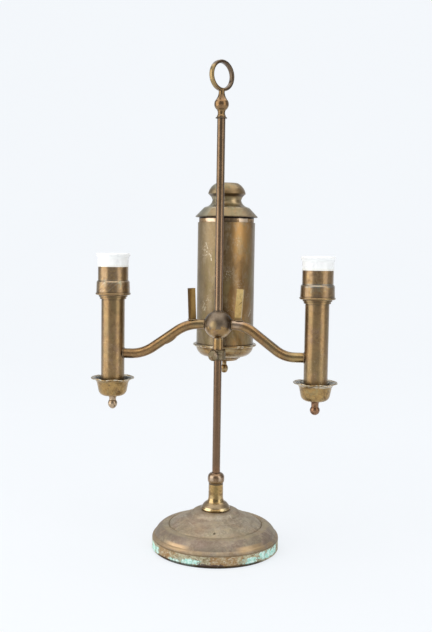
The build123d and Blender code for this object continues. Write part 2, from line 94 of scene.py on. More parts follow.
class LampColours(bpy.types.PropertyGroup):
    gold: colour("Gold", "Brass where handling keeps it bright", (0.44, 0.29, 0.115))
    brass: colour("Brass", "Brass under old lacquer", (0.27, 0.165, 0.070))
    umber: colour("Umber", "Brass darkened by tarnish", (0.105, 0.058, 0.022))
    rose: colour("Rose", "Pinkish tarnish", (0.29, 0.19, 0.13))
    ash: colour("Ash", "Grey film on dull brass", (0.30, 0.26, 0.20))
    verdigris: colour("Verdigris", "Copper salts on the foot", (0.30, 0.68, 0.58))
    # Dirt also serves as painted shade: the corner step lays it where ambient occlusion finds corners, and
    # the foot's contact shadow is painted in it.
    dirt_and_shade: colour("Dirt", "Grime in corners", (0.035, 0.022, 0.012))


class LampDetails(bpy.types.PropertyGroup):
    thread_pitch: length("Thread pitch", "Pitch of the rolled screw shells", 3.629)
    thread_crest: length("Thread crest", "Radius of the inward crests", 12.25)
    thread_root: length("Thread root", "Radius of the outward roots", 13.35)
    cup_wave: length("Cup wave", "How far the cups' rims are bent", 0.9)
    solder: length("Solder", "Width of the solder fillets", 1.6)


class StageSettings(bpy.types.PropertyGroup):
    distance: length("Distance", "Level distance from the rod to the camera", 1085)
    height: length("Height", "Camera height over the floor", 379.9)
    aside: length("Aside", "How far the rod is right of the camera's axis", 3.0)
    turn: angle("Turn", "Turn of the camera round the rod", 8.5)
    pitch: angle("Pitch", "How far the camera looks down", 4.6)
    roll: angle("Roll", "Lean of the camera", 0.84)
    lens: number("Lens", "Focal length in millimetres on a 36 mm frame", 50.0)
    floor: colour("Floor", "Colour of the floor and backdrop", (0.925, 0.955, 0.99))
    left_power: number("Left box", "Power of the left soft box in watts", 17.0)
    right_power: number("Right box", "Power of the right soft box in watts", 6.0)
    top_power: number("Top box", "Power of the top soft box in watts", 36.0)


def colours():
    return bpy.context.scene.lamp_colours


def details():
    return bpy.context.scene.lamp_details


def stage():
    return bpy.context.scene.lamp_stage


# Materials

class Finish:
    """One material, mixed from patterns in object space."""

    def __init__(self, name):
        self.material = bpy.data.materials.new(name)
        self.material.use_nodes = True
        self.tree = self.material.node_tree
        self.tree.nodes.clear()
        self.surface = self.node("ShaderNodeOutputMaterial").inputs["Surface"]
        self.place = self.node("ShaderNodeTexCoord").outputs["Object"]
        self.base = (0, 0, 0)
        self.normal = None

    def node(self, kind, **settings):
        made = self.tree.nodes.new(kind)
        for key, value in settings.items():
            setattr(made, key, value)
        return made

    def feed(self, socket, value):
        if isinstance(value, bpy.types.NodeSocket):
            self.tree.links.new(value, socket)
        elif socket.type == "RGBA":
            socket.default_value = (*value[:3], 1)
        else:
            socket.default_value = value

    def math(self, operation, first, second=0.0, clamp=False):
        made = self.node("ShaderNodeMath", operation=operation, use_clamp=clamp)
        self.feed(made.inputs[0], first)
        self.feed(made.inputs[1], second)
        return made.outputs[0]

    def times(self, first, second):
        return self.math("MULTIPLY", first, second)

    def either(self, first, second):
        return self.math("MAXIMUM", first, second)

    def less(self, first, second):
        return self.math("SUBTRACT", first, second)

    def vector(self, operation, first, second, output="Vector"):
        made = self.node("ShaderNodeVectorMath", operation=operation)
        self.feed(made.inputs[0], first)
        self.feed(made.inputs[1], second)
        return made.outputs[output]

    def moved(self, scale, turn, shift):
        made = self.node("ShaderNodeMapping")
        self.feed(made.inputs["Vector"], self.place)
        made.inputs["Scale"].default_value = scale
        made.inputs["Rotation"].default_value = [math.radians(a) for a in turn]
        made.inputs["Location"].default_value = shift
        return made.outputs["Vector"]

    def noise(self, scale, detail=3.0, rough=0.55, seed=0.0, stretch=(1, 1, 1), turn=(0, 0, 0), warp=0.0):
        made = self.node("ShaderNodeTexNoise")
        place = self.moved(stretch, turn, (seed, seed * 0.7, -seed))
        self.feed(made.inputs["Vector"], place)
        made.inputs["Scale"].default_value = scale
        made.inputs["Detail"].default_value = detail
        made.inputs["Roughness"].default_value = rough
        made.inputs["Distortion"].default_value = warp
        return made.outputs["Fac"]

    def span(self, value, low, high, start=0.0, end=1.0):
        """Smooth step: start where value is low, end where it is high."""
        made = self.node("ShaderNodeMapRange", interpolation_type="SMOOTHSTEP")
        self.feed(made.inputs["Value"], value)
        for socket, bound in zip(("From Min", "From Max", "To Min", "To Max"), (low, high, start, end)):
            made.inputs[socket].default_value = bound
        return made.outputs["Result"]

    def blend(self, share, first, second, mode="MIX"):
        made = self.node("ShaderNodeMix", data_type="RGBA", blend_type=mode)
        self.feed(made.inputs[0], share)
        self.feed(made.inputs[6], first)
        self.feed(made.inputs[7], second)
        return made.outputs[2]

    def between(self, share, first, second):
        made = self.node("ShaderNodeMix", data_type="FLOAT")
        self.feed(made.inputs[0], share)
        self.feed(made.inputs[2], first)
        self.feed(made.inputs[3], second)
        return made.outputs[0]

    def part(self, letter):
        made = self.node("ShaderNodeSeparateXYZ")
        self.feed(made.inputs[0], self.place)
        return made.outputs[letter]

    def near(self, centre, reach, edge=0.5, ragged=0.0, scale=400.0):
        """A soft spot at a place given in millimetres: 1 inside it, 0 outside."""
        distance = self.vector("DISTANCE", self.place, tuple(c * MM for c in centre), "Value")
        if ragged:
            wobble = self.math("MULTIPLY", self.math("SUBTRACT", self.noise(scale, 4), 0.5), ragged * MM)
            distance = self.math("ADD", distance, wobble)
        return self.span(distance, reach * MM * edge, reach * MM, 1.0, 0.0)

    def stroke(self, start, end, width):
        """A thin mark between two places given in millimetres."""
        a = Vector(start) * MM
        d = (Vector(end) - Vector(start)) * MM
        from_start = self.vector("SUBTRACT", self.place, tuple(a))
        along = self.math("DIVIDE", self.vector("DOT_PRODUCT", from_start, tuple(d), "Value"),
                          d.length_squared, clamp=True)
        run = self.node("ShaderNodeVectorMath", operation="SCALE")
        run.inputs[0].default_value = d
        self.feed(run.inputs["Scale"], along)
        off = self.node("ShaderNodeVectorMath", operation="DISTANCE")
        self.feed(off.inputs[0], from_start)
        self.feed(off.inputs[1], run.outputs["Vector"])
        return self.span(off.outputs["Value"], width * MM * 0.3, width * MM, 1.0, 0.0)

    def bearing(self, axis=(0, 0)):
        """Angle round an upright axis, in radians: 0 in front, growing to the right."""
        across = self.math("SUBTRACT", self.part("X"), axis[0] * MM)
        forward = self.math("SUBTRACT", axis[1] * MM, self.part("Y"))
        return self.math("ARCTAN2", across, forward)

    def rising(self, letter, low, high):
        """0 before one place along an axis and 1 past another, both in millimetres."""
        return self.span(self.part(letter), low * MM, high * MM)

    def falling(self, letter, low, high):
        """1 before one place along an axis and 0 past another, both in millimetres."""
        return self.span(self.part(letter), low * MM, high * MM, 1.0, 0.0)

    def tier(self, low, high, soft=1.0):
        """1 between two heights given in millimetres, fading over soft."""
        return self.times(self.rising("Z", low - soft, low), self.falling("Z", high, high + soft))

    def sector(self, around, middle, half, soft=8.0):
        """1 within half degrees of a bearing, fading over soft degrees."""
        away = self.math("ABSOLUTE", self.math("SUBTRACT", around, math.radians(middle)))
        return self.span(away, math.radians(half), math.radians(half + soft), 1.0, 0.0)

    def sectors(self, around, *places):
        """1 within any of several sectors."""
        found = self.sector(around, *places[0])
        for place in places[1:]:
            found = self.either(found, self.sector(around, *place))
        return found

    def ragged(self, mask, scale, amount, seed):
        """Breaks up the edge of a soft mask."""
        wobble = self.math("SUBTRACT", self.noise(scale, 6.0, 0.72, seed, warp=0.4), 0.5)
        return self.span(self.math("ADD", mask, self.math("MULTIPLY", wobble, amount)), 0.42, 0.58)

    def clouds(self, scale, seed, low=0.35, stretch=(1, 1, 0.45)):
        """Soft uneven share, from low to 1, for breaking up a mask."""
        return self.span(self.noise(scale, 5.0, 0.68, seed, stretch, warp=0.5), 0.36, 0.60, low, 1.0)

    def tint(self, mask, strength, tone):
        """Lays a tone over the colour so far, where the mask is."""
        share = mask if strength == 1 else self.times(mask, strength)
        self.base = self.blend(share, self.base, tone)

    def corner_grime_and_shade(self, reach=2.5, strength=0.8):
        """Paints shade, mixed with grime, into the corners where pieces meet, as found by ambient occlusion.
        """
        corner = self.span(self.crevice(reach), 0.35, 0.95, strength, 0.0)
        self.tint(corner, 1, colours().dirt_and_shade)

    def crevice(self, reach):
        """1 in the open, falling to 0 in corners."""
        made = self.node("ShaderNodeAmbientOcclusion", samples=6)
        made.inputs["Distance"].default_value = reach * MM
        return made.outputs["AO"]

    def scratches(self, scale, amount):
        """Short bright hairlines in several directions."""
        found = None
        for turn, seed in (((20, 10, 35), 1.3), ((-50, 30, 80), 4.1), ((75, -20, 140), 7.7)):
            lines = self.noise(900 * scale, 1.0, 0.4, seed, (1, 0.04, 1), turn)
            lines = self.span(lines, 0.80 - 0.1 * amount, 0.86 - 0.1 * amount)
            found = lines if found is None else self.math("MAXIMUM", found, lines)
        patches = self.span(self.noise(60 * scale, 2.0, 0.5, 9.1), 0.45, 0.62)
        return self.math("MULTIPLY", found, patches)

    def bump(self, height, strength, depth):
        made = self.node("ShaderNodeBump")
        made.inputs["Strength"].default_value = strength
        made.inputs["Distance"].default_value = depth * MM
        self.feed(made.inputs["Height"], height)
        if self.normal is not None:
            self.feed(made.inputs["Normal"], self.normal)
        self.normal = made.outputs["Normal"]

    def done(self, rough, metal=1.0, coat=0.0):
        """Closes the material, with a lacquer coat where one is left."""
        shader = self.node("ShaderNodeBsdfPrincipled")
        shader.inputs["Coat Weight"].default_value = coat
        shader.inputs["Coat Roughness"].default_value = 0.32
        shader.inputs["Coat IOR"].default_value = 1.6
        self.feed(shader.inputs["Base Color"], self.base)
        self.feed(shader.inputs["Roughness"], rough)
        self.feed(shader.inputs["Metallic"], metal)
        if self.normal is not None:
            self.feed(shader.inputs["Normal"], self.normal)
        self.feed(self.surface, shader.outputs["BSDF"])
        return self.material


def worn_brass(finish, body, patina, shine, seed, mottle, patina_share=0.5, grain=0.12, streaks=0.0,
               specks=0.3, warmth=0.8):
    """Lays the colour of old brass: a body tone, patina in clouds, bright rubbed places and specks.

    Gives the share of patina, which is duller than the metal."""
    tones = colours()
    clouds = finish.noise(mottle, 5.0, 0.62, seed, warp=0.6)
    fine = finish.noise(mottle * 7, 5.0, 0.7, seed + 2.0)
    drawn = finish.noise(120, 3.0, 0.6, seed + 5.0, (1, 1, 0.06))
    mixed = finish.math("ADD", finish.times(clouds, 0.68), finish.times(fine, 0.32))
    share = finish.span(mixed, 0.62 - 0.3 * patina_share, 0.80 - 0.3 * patina_share)
    finish.base = body
    finish.tint(share, 1, patina)
    rubbed = finish.span(finish.noise(mottle * 0.8, 4.0, 0.6, seed + 11.0), 0.52, 0.72)
    finish.tint(rubbed, 0.5, shine)
    finish.tint(finish.span(drawn, 0.35, 0.75, 0.0, streaks), 1, tones.umber)
    deep = finish.span(finish.noise(mottle * 2.4, 6.0, 0.75, seed + 17.0, warp=0.4), 0.48, 0.58)
    finish.tint(deep, 0.34, tones.umber)
    lit = finish.span(finish.noise(mottle * 3.6, 6.0, 0.75, seed + 19.0, warp=0.4), 0.49, 0.60)
    finish.tint(lit, 0.45, shine)
    pits = finish.span(finish.noise(1100, 3.0, 0.6, seed + 3.0), 0.64, 0.74)
    finish.tint(pits, specks, tones.dirt_and_shade)
    finish.base = finish.blend(warmth, finish.base, (1.0, 0.96, 0.80), "MULTIPLY")
    finish.bump(fine, grain * 0.5, 0.2)
    return share


def brass_finish(name, body, patina, shine, seed, rough, **habits):
    """Usual aged brass for a whole piece."""
    finish = Finish(name)
    share = worn_brass(finish, body, patina, shine, seed, **habits)
    hairlines = finish.scratches(1.0, 0.4)
    finish.tint(hairlines, 0.55, shine)
    finish.corner_grime_and_shade()
    finish.bump(hairlines, 0.1, 0.1)
    return finish.done(finish.between(share, *rough), coat=0.5)


def assign(material, *nodes):
    """Puts a material on frame nodes, in the slots that they have."""
    for name in nodes:
        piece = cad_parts[name]
        if not piece.material_slots:
            piece.data.materials.append(material)
        for place in piece.material_slots:
            place.material = material


def both(*names):
    return [side + "_" + name for side in ("left", "right") for name in names]


# Modelling

def deselect():
    if bpy.context.mode != "OBJECT":
        bpy.ops.object.mode_set(mode="OBJECT")
    bpy.ops.object.select_all(action="DESELECT")


def take(*pieces):
    """Selects pieces and nothing else, the first of them active."""
    deselect()
    for piece in pieces:
        piece.select_set(True)
    bpy.context.view_layer.objects.active = pieces[0]


def on_wall(axis, radius, bearing, height):
    """A place on an upright wall, in millimetres, by its bearing round the wall's axis."""
    turn = math.radians(bearing)
    return (axis[0] + radius * math.sin(turn), axis[1] - radius * math.cos(turn), height)


def start_profile(name, start):
    """A new mesh of one vertex, in edit mode, its object at the origin."""
    deselect()
    bpy.ops.mesh.primitive_plane_add(size=MM, location=(0, 0, 0), enter_editmode=True)
    piece = bpy.context.object
    piece.name = piece.data.name = name
    bpy.ops.mesh.select_mode(type="VERT")
    bpy.ops.mesh.merge(type="CENTER")
    bpy.ops.transform.translate(value=start)
    return piece


def draw_profile(name, points, centre=(0, 0)):
    """Draws an open outline of (radius, height) in millimetres, vertex by vertex."""
    corners = [Vector((centre[0] + r, centre[1], z)) * MM for r, z in points]
    piece = start_profile(name, corners[0])
    for last, corner in zip(corners, corners[1:]):
        bpy.ops.mesh.extrude_region_move(TRANSFORM_OT_translate={"value": corner - last})
    return piece


def turned(name, points, centre=(0, 0), steps=96):
    """Spins an outline round an upright axis through centre, and closes the seam."""
    piece = draw_profile(name, points, centre)
    bpy.ops.mesh.select_all(action="SELECT")
    bpy.ops.mesh.spin(steps=steps, angle=FULL_TURN, center=(centre[0] * MM, centre[1] * MM, 0),
                      axis=(0, 0, 1))
    bpy.ops.mesh.select_all(action="SELECT")
    bpy.ops.mesh.remove_doubles(threshold=MM * 0.001)
    bpy.ops.mesh.normals_make_consistent(inside=False)
    bpy.ops.object.mode_set(mode="OBJECT")
    return piece


def arc(start, through, end, count):
    """Points of the arc through three points, without its first."""
    (x1, y1), (x2, y2), (x3, y3) = start, through, end
    d = 2 * (x1 * (y2 - y3) + x2 * (y3 - y1) + x3 * (y1 - y2))
    s1, s2, s3 = x1 * x1 + y1 * y1, x2 * x2 + y2 * y2, x3 * x3 + y3 * y3
    cx = (s1 * (y2 - y3) + s2 * (y3 - y1) + s3 * (y1 - y2)) / d
    cy = (s1 * (x3 - x2) + s2 * (x1 - x3) + s3 * (x2 - x1)) / d
    radius = math.hypot(x1 - cx, y1 - cy)
    a1 = math.atan2(y1 - cy, x1 - cx)
    sweep = [(math.atan2(y - cy, x - cx) - a1) % FULL_TURN for x, y in (through, end)]
    total = sweep[1] if sweep[0] < sweep[1] else sweep[1] - FULL_TURN
    turns = [a1 + total * i / count for i in range(1, count + 1)]
    return [(cx + radius * math.cos(turn), cy + radius * math.sin(turn)) for turn in turns]


def finish_piece(piece, material, slot, smooth, *nodes):
    """Smooths and dresses a new piece, which rides on the carriage for the nodes it replaces."""
    take(piece)
    bpy.ops.object.shade_smooth_by_angle(angle=math.radians(smooth))
    piece.data.materials.clear()
    piece.data.materials.append(material)
    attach(piece, "carriage")
    if nodes:
        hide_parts(*nodes)
    return piece


def apply_modifier(piece, kind, **settings):
    take(piece)
    made = piece.modifiers.new(kind.title(), kind)
    for key, value in settings.items():
        setattr(made, key, value)
    bpy.ops.object.modifier_apply(modifier=made.name)


# Operators, one for each group of pieces

class LampOperator:
    bl_options = {"REGISTER", "UNDO"}


class LAMP_OT_foot(LampOperator, bpy.types.Operator):
    """Foot: dull pinkish taupe, golden glints on the shoulder, verdigris and rust round the rim"""
    bl_idname = "lamp.foot"
    bl_label = "Foot"

    def execute(self, context):
        tones = colours()
        finish = Finish("foot_brass")
        share = worn_brass(finish, (0.36, 0.31, 0.24), (0.33, 0.235, 0.185), tones.ash, 3.0, mottle=34.0,
                           patina_share=0.55, grain=0.3, specks=0.45, warmth=0.0)
        around = finish.bearing()
        olive_clouds = finish.span(finish.noise(30, 5.0, 0.65, 21.0), 0.44, 0.62)
        finish.tint(olive_clouds, 0.5, (0.27, 0.245, 0.15))
        dusty = finish.span(finish.noise(330, 5.0, 0.8, 25.0), 0.47, 0.66)
        finish.tint(dusty, 0.5, (0.54, 0.48, 0.38))
        coarse = finish.span(finish.noise(80, 6.0, 0.78, 29.0), 0.48, 0.57)
        finish.tint(coarse, 0.4, (0.205, 0.155, 0.105))
        rubbed = finish.span(finish.noise(100, 6.0, 0.78, 31.0), 0.50, 0.59)
        finish.tint(rubbed, 0.4, (0.50, 0.41, 0.27))
        warm = finish.times(finish.tier(31, 60, 3.0), finish.clouds(24, 27.0, 0.0, (1, 1, 1)))
        finish.tint(warm, 0.35, (0.36, 0.26, 0.17))
        shoulder = finish.times(finish.tier(16, 28, 3.0), finish.clouds(38, 17.0, 0.3, (1, 1, 1)))
        finish.tint(shoulder, 0.6, (0.21, 0.155, 0.125))
        glints = finish.times(finish.sectors(around, (-31, 5, 15), (43, 6, 14)),
                              finish.tier(18.5, 21.5, 2.5))
        finish.tint(glints, 0.6, (0.56, 0.38, 0.20))
        low_gold = finish.times(finish.tier(14.5, 18.5, 1.5), finish.clouds(60, 37.0, 0.1, (1, 1, 1)))
        finish.tint(low_gold, 0.45, (0.40, 0.28, 0.14))
        # Painted light in the groove, lifting the shade that falls into it.
        groove_painted_light = finish.times(finish.tier(29.5, 30.1, 0.4), finish.clouds(70, 7.0, 0.2, (1, 1, 1)))
        finish.tint(groove_painted_light, 0.4, (0.42, 0.34, 0.20))
        inner_rings = finish.either(finish.tier(44.6, 45.1, 0.3), finish.tier(40.2, 40.6, 0.3))
        finish.tint(inner_rings, 0.3, (0.46, 0.40, 0.30))
        crease = finish.ragged(finish.tier(13.6, 15.0, 0.9), 150, 2.0, 6.0)
        finish.tint(crease, 0.6, (0.12, 0.075, 0.035))
        on_rim = finish.falling("Z", 13, 15)
        crust = self.rim_patches(finish, on_rim, around)
        arcs = (((20, -19, 46), (36, -27, 41), 0.8), ((36, -27, 41), (46, -38, 35), 0.9),
                ((-30, -30, 40), (-18, -44, 38), 0.4), ((60, -26, 27.5), (66, -14, 27), 0.5))
        for start, end, width in arcs:
            trace = finish.times(finish.stroke(start, end, width + 1.2), finish.clouds(420, 5.0, 0.2))
            finish.tint(trace, 0.6, (0.60, 0.54, 0.44))
        finish.tint(finish.near((6.5, -52, 33.5), 2.4, 0.3, 3.0), 0.85, tones.dirt_and_shade)
        finish.corner_grime_and_shade(0.5, 0.25)
        hairlines = finish.scratches(0.7, 0.5)
        finish.tint(hairlines, 0.35, (0.55, 0.48, 0.36))
        roughness = finish.between(share, 0.56, 0.68)
        roughness = finish.between(crust, roughness, 0.9)
        roughness = finish.between(glints, roughness, 0.36)
        metal = finish.between(crust, 0.78, 0.0)
        crumbs = finish.times(crust, finish.noise(900, 5.0, 0.7, 8.0))
        finish.bump(crumbs, 0.7, 0.7)
        assign(finish.done(roughness, metal), "base_shell")
        self.hidden_pieces()
        return {"FINISHED"}

    def rim_patches(self, finish, on_rim, around):
        """Verdigris, cream, rust and purple-black patches by their bearing, and a painted contact shadow
        along the front of the bottom edge. Gives the verdigris.
        """
        tones = colours()
        blotch = finish.noise(150, 6.0, 0.75, 5.0, (1, 1, 1.6), warp=0.6)
        ground = finish.blend(finish.span(blotch, 0.40, 0.60), (0.50, 0.46, 0.31), (0.22, 0.16, 0.08))
        finish.tint(on_rim, 1, ground)
        rust = finish.sectors(around, (17, 5, 18), (-43, 4, 14), (150, 20, 25))
        rust = finish.times(finish.ragged(rust, 110, 4.0, 14.0), on_rim)
        finish.tint(rust, 0.65, (0.38, 0.21, 0.085))
        cream = finish.span(finish.noise(230, 6.0, 0.75, 61.0, (1, 1, 1.8)), 0.51, 0.60)
        cream = finish.times(cream, on_rim)
        finish.tint(cream, 0.7, (0.64, 0.60, 0.47))
        crust = None
        for bearing, half_width, low, high in (
                (-62, 5, 4.0, 9), (-20, 8, 1.5, 4.5), (-14, 3, 4.5, 7.5), (64, 8, 5, 11.5), (40, 1, 5, 8),
                (118, 10, 2, 7), (-148, 14, 4, 10), (170, 4, 1, 5)):
            patch = finish.times(finish.sector(around, bearing, half_width, 14.0),
                                finish.tier(low, high, 4.5))
            crust = patch if crust is None else finish.either(crust, patch)
        halo = finish.times(finish.ragged(crust, 100, 4.0, 23.0), on_rim)
        finish.tint(halo, 0.45, (0.46, 0.52, 0.42))
        core = finish.ragged(finish.less(crust, 0.16), 130, 4.5, 31.0)
        crust = finish.times(core, on_rim)
        salts = finish.blend(finish.span(finish.noise(330, 6.0, 0.8, 2.0), 0.42, 0.60), tones.verdigris,
                             (0.78, 0.92, 0.88))
        finish.tint(crust, 0.9, salts)
        stains = finish.span(finish.noise(200, 6.0, 0.75, 44.0), 0.57, 0.63)
        stains = finish.times(stains, finish.falling("Z", 3.5, 8.0))
        front = finish.times(finish.sector(around, 4, 3, 16), finish.falling("Z", 2, 9))
        stains = finish.either(stains, finish.ragged(finish.less(front, 0.15), 120, 4.5, 71.0))
        finish.tint(finish.times(stains, on_rim), 0.85, (0.075, 0.042, 0.045))
        # Painted contact shadow: a black line along the front of the bottom edge, where the foot meets the
        # floor.
        contact_shadow = finish.times(finish.falling("Z", 3.0, 4.2), finish.sector(around, 0, 48, 10))
        finish.tint(contact_shadow, 0.9, tones.dirt_and_shade)
        return crust

    def hidden_pieces(self):
        """Felt, cast weight, closing plate, nut and washer under the foot."""
        felt = Finish("worn_felt")
        fibres = felt.noise(2600, 4.0, 0.8, 0.0, (1, 0.25, 1), (0, 0, 30))
        cloud = felt.noise(60, 3.0, 0.5, 3.0)
        felt.base = felt.blend(cloud, (0.012, 0.014, 0.011), (0.045, 0.042, 0.035))
        felt.bump(fibres, 0.6, 0.4)
        assign(felt.done(0.97, 0.0), "base_felt")
        iron = Finish("cast_iron")
        sand = iron.noise(700, 5.0, 0.7)
        rusty = iron.span(iron.noise(50, 4.0, 0.6, 4.0), 0.5, 0.7)
        iron.base = iron.blend(rusty, (0.045, 0.04, 0.038), (0.12, 0.055, 0.025))
        iron.bump(sand, 0.5, 0.5)
        assign(iron.done(iron.between(rusty, 0.55, 0.85), iron.between(rusty, 0.7, 0.1)), "base_weight")
        steel = Finish("dull_steel")
        rolled = steel.noise(300, 4.0, 0.6, 0.0, (0.08, 1, 1))
        spots = steel.span(steel.noise(90, 4.0, 0.6, 6.0), 0.55, 0.7)
        steel.base = steel.blend(spots, (0.42, 0.41, 0.39), (0.20, 0.12, 0.07))
        steel.bump(rolled, 0.15, 0.2)
        assign(steel.done(steel.between(spots, 0.38, 0.7), steel.between(spots, 1.0, 0.4)),
               "base_plate", "rod_washer", "rod_nut")


class LAMP_OT_stem(LampOperator, bpy.types.Operator):
    """Stem: polished bead, dull pinkish ring and golden socket under a browner cap, with painted highlights
    on the bead, flare and cap and painted shade down the front of the socket
    """
    bl_idname = "lamp.stem"
    bl_label = "Stem"

    def execute(self, context):
        tones = colours()
        finish = Finish("stem_brass")
        around = finish.bearing()
        share = worn_brass(finish, (0.37, 0.235, 0.085), tones.umber, (0.56, 0.38, 0.16), 12.0,
                           mottle=80.0, patina_share=0.46, grain=0.06, streaks=0.35, specks=0.15)
        dull = finish.tier(53.4, 57.2, 1.6)
        film = finish.blend(finish.noise(300, 5.0, 0.7, 5.0), (0.17, 0.12, 0.07), (0.33, 0.26, 0.17))
        finish.tint(dull, 0.75, film)
        finish.tint(finish.tier(57.8, 58.3, 0.5), 0.55, tones.umber)
        # Painted highlights on the bead and the flare.
        shine = finish.sectors(around, (-26, 7, 16), (44, 7, 16))
        finish.tint(finish.times(shine, finish.tier(49.5, 52.6, 1.0)), 0.75, (0.86, 0.70, 0.40))
        finish.tint(finish.times(shine, finish.tier(59, 66, 3.0)), 0.4, (0.80, 0.60, 0.30))
        # Painted shade down the front of the socket.
        front = finish.times(finish.sector(around, 8, 4, 26), finish.clouds(110, 9.0, 0.4))
        finish.tint(finish.times(front, finish.tier(60, 82, 6.0)), 0.65, (0.16, 0.11, 0.03))
        finish.tint(finish.tier(80.9, 83.0, 0.5), 0.8, tones.dirt_and_shade)
        finish.corner_grime_and_shade(2.0, 0.6)
        assign(finish.done(finish.between(dull, finish.between(share, 0.22, 0.36), 0.46), coat=0.5),
               "stem_socket")
        cap = Finish("stem_cap_brass")
        share = worn_brass(cap, (0.215, 0.13, 0.076), tones.umber, (0.26, 0.17, 0.11), 15.0, mottle=190.0,
                           grain=0.1)
        # Painted highlights on the cap.
        lights = cap.times(cap.sectors(cap.bearing(), (-26, 8, 14), (38, 6, 12)), cap.tier(87, 92, 2.0))
        cap.tint(lights, 0.5, (0.56, 0.44, 0.32))
        cap.tint(cap.tier(82.5, 85.5, 1.0), 0.35, (0.34, 0.22, 0.08))
        cap.corner_grime_and_shade(2.0, 0.8)
        assign(cap.done(cap.between(share, 0.30, 0.46), coat=0.5), "stem_cap")
        return {"FINISHED"}


class LAMP_OT_rod(LampOperator, bpy.types.Operator):
    """Rod, knob and finger ring: pinkish brown above the hub, darker and redder below it, with a painted
    highlight on the ring's left limb and painted shade over its top, its right limb and the front of the knob
    """
    bl_idname = "lamp.rod"
    bl_label = "Rod and ring"

    def execute(self, context):
        tones = colours()
        finish = Finish("rod_brass")
        share = worn_brass(finish, (0.17, 0.105, 0.055), tones.umber, (0.235, 0.15, 0.092), 1.0,
                           mottle=30.0, patina_share=0.42, grain=0.02, streaks=0.4, specks=0.1)
        low = finish.falling("Z", 210, 290)
        finish.tint(low, 0.75, (0.115, 0.056, 0.021))
        red = finish.times(finish.clouds(26, 81.0, 0.0, (1, 1, 0.3)), finish.tier(330, 440, 20))
        finish.tint(red, 0.25, (0.24, 0.10, 0.055))
        finish.tint(finish.tier(300, 420, 15), 0.3, (0.30, 0.20, 0.12))
        marks = finish.times(finish.span(finish.noise(300, 4.0, 0.7, 83.0, (1, 1, 0.3)), 0.62, 0.7),
                            finish.rising("Z", 280, 320))
        finish.tint(marks, 0.35, (0.50, 0.36, 0.22))
        foot_rust = finish.falling("Z", 95, 112)
        finish.tint(foot_rust, 0.5, (0.20, 0.09, 0.035))
        finish.corner_grime_and_shade(2.5)
        assign(finish.done(finish.between(share, 0.22, 0.32), coat=0.6), "rod")
        finish = Finish("knob_brass")
        share = worn_brass(finish, (0.195, 0.118, 0.046), tones.umber, (0.24, 0.145, 0.058), 6.0,
                           mottle=70.0, patina_share=0.46, grain=0.03, specks=0.12)
        high = finish.tier(568, 606, 4.0)
        # Painted highlight on the ring's left limb.
        left_limb_highlight = finish.times(finish.falling("X", -9.0, -3.5), high)
        finish.tint(left_limb_highlight, 0.6, (0.33, 0.235, 0.09))
        # Painted shade over the ring's top and right limb, less dark on the right limb's inner face.
        shaded_right_limb = finish.times(finish.rising("X", 2.0, 8.5), high)
        dark = finish.either(finish.tier(598.5, 606, 3.0), shaded_right_limb)
        finish.tint(dark, 0.8, (0.065, 0.034, 0.013))
        back = finish.times(finish.rising("Y", -2, 3), shaded_right_limb)
        finish.tint(back, 0.4, (0.13, 0.095, 0.06))
        # Painted shade down the front of the knob.
        shaded_knob_front = finish.times(finish.sector(finish.bearing(), 6, 8, 26), finish.tier(546, 561, 3.0))
        finish.tint(shaded_knob_front, 0.6, (0.10, 0.05, 0.018))
        finish.tint(finish.tier(547, 556, 3.0), 0.3, (0.34, 0.18, 0.075))
        finish.tint(finish.tier(533, 535.6, 0.6), 0.7, tones.dirt_and_shade)
        finish.corner_grime_and_shade(2.5)
        assign(finish.done(finish.between(share, 0.22, 0.36), coat=0.5), "top_knob", "finger_ring")
        return {"FINISHED"}


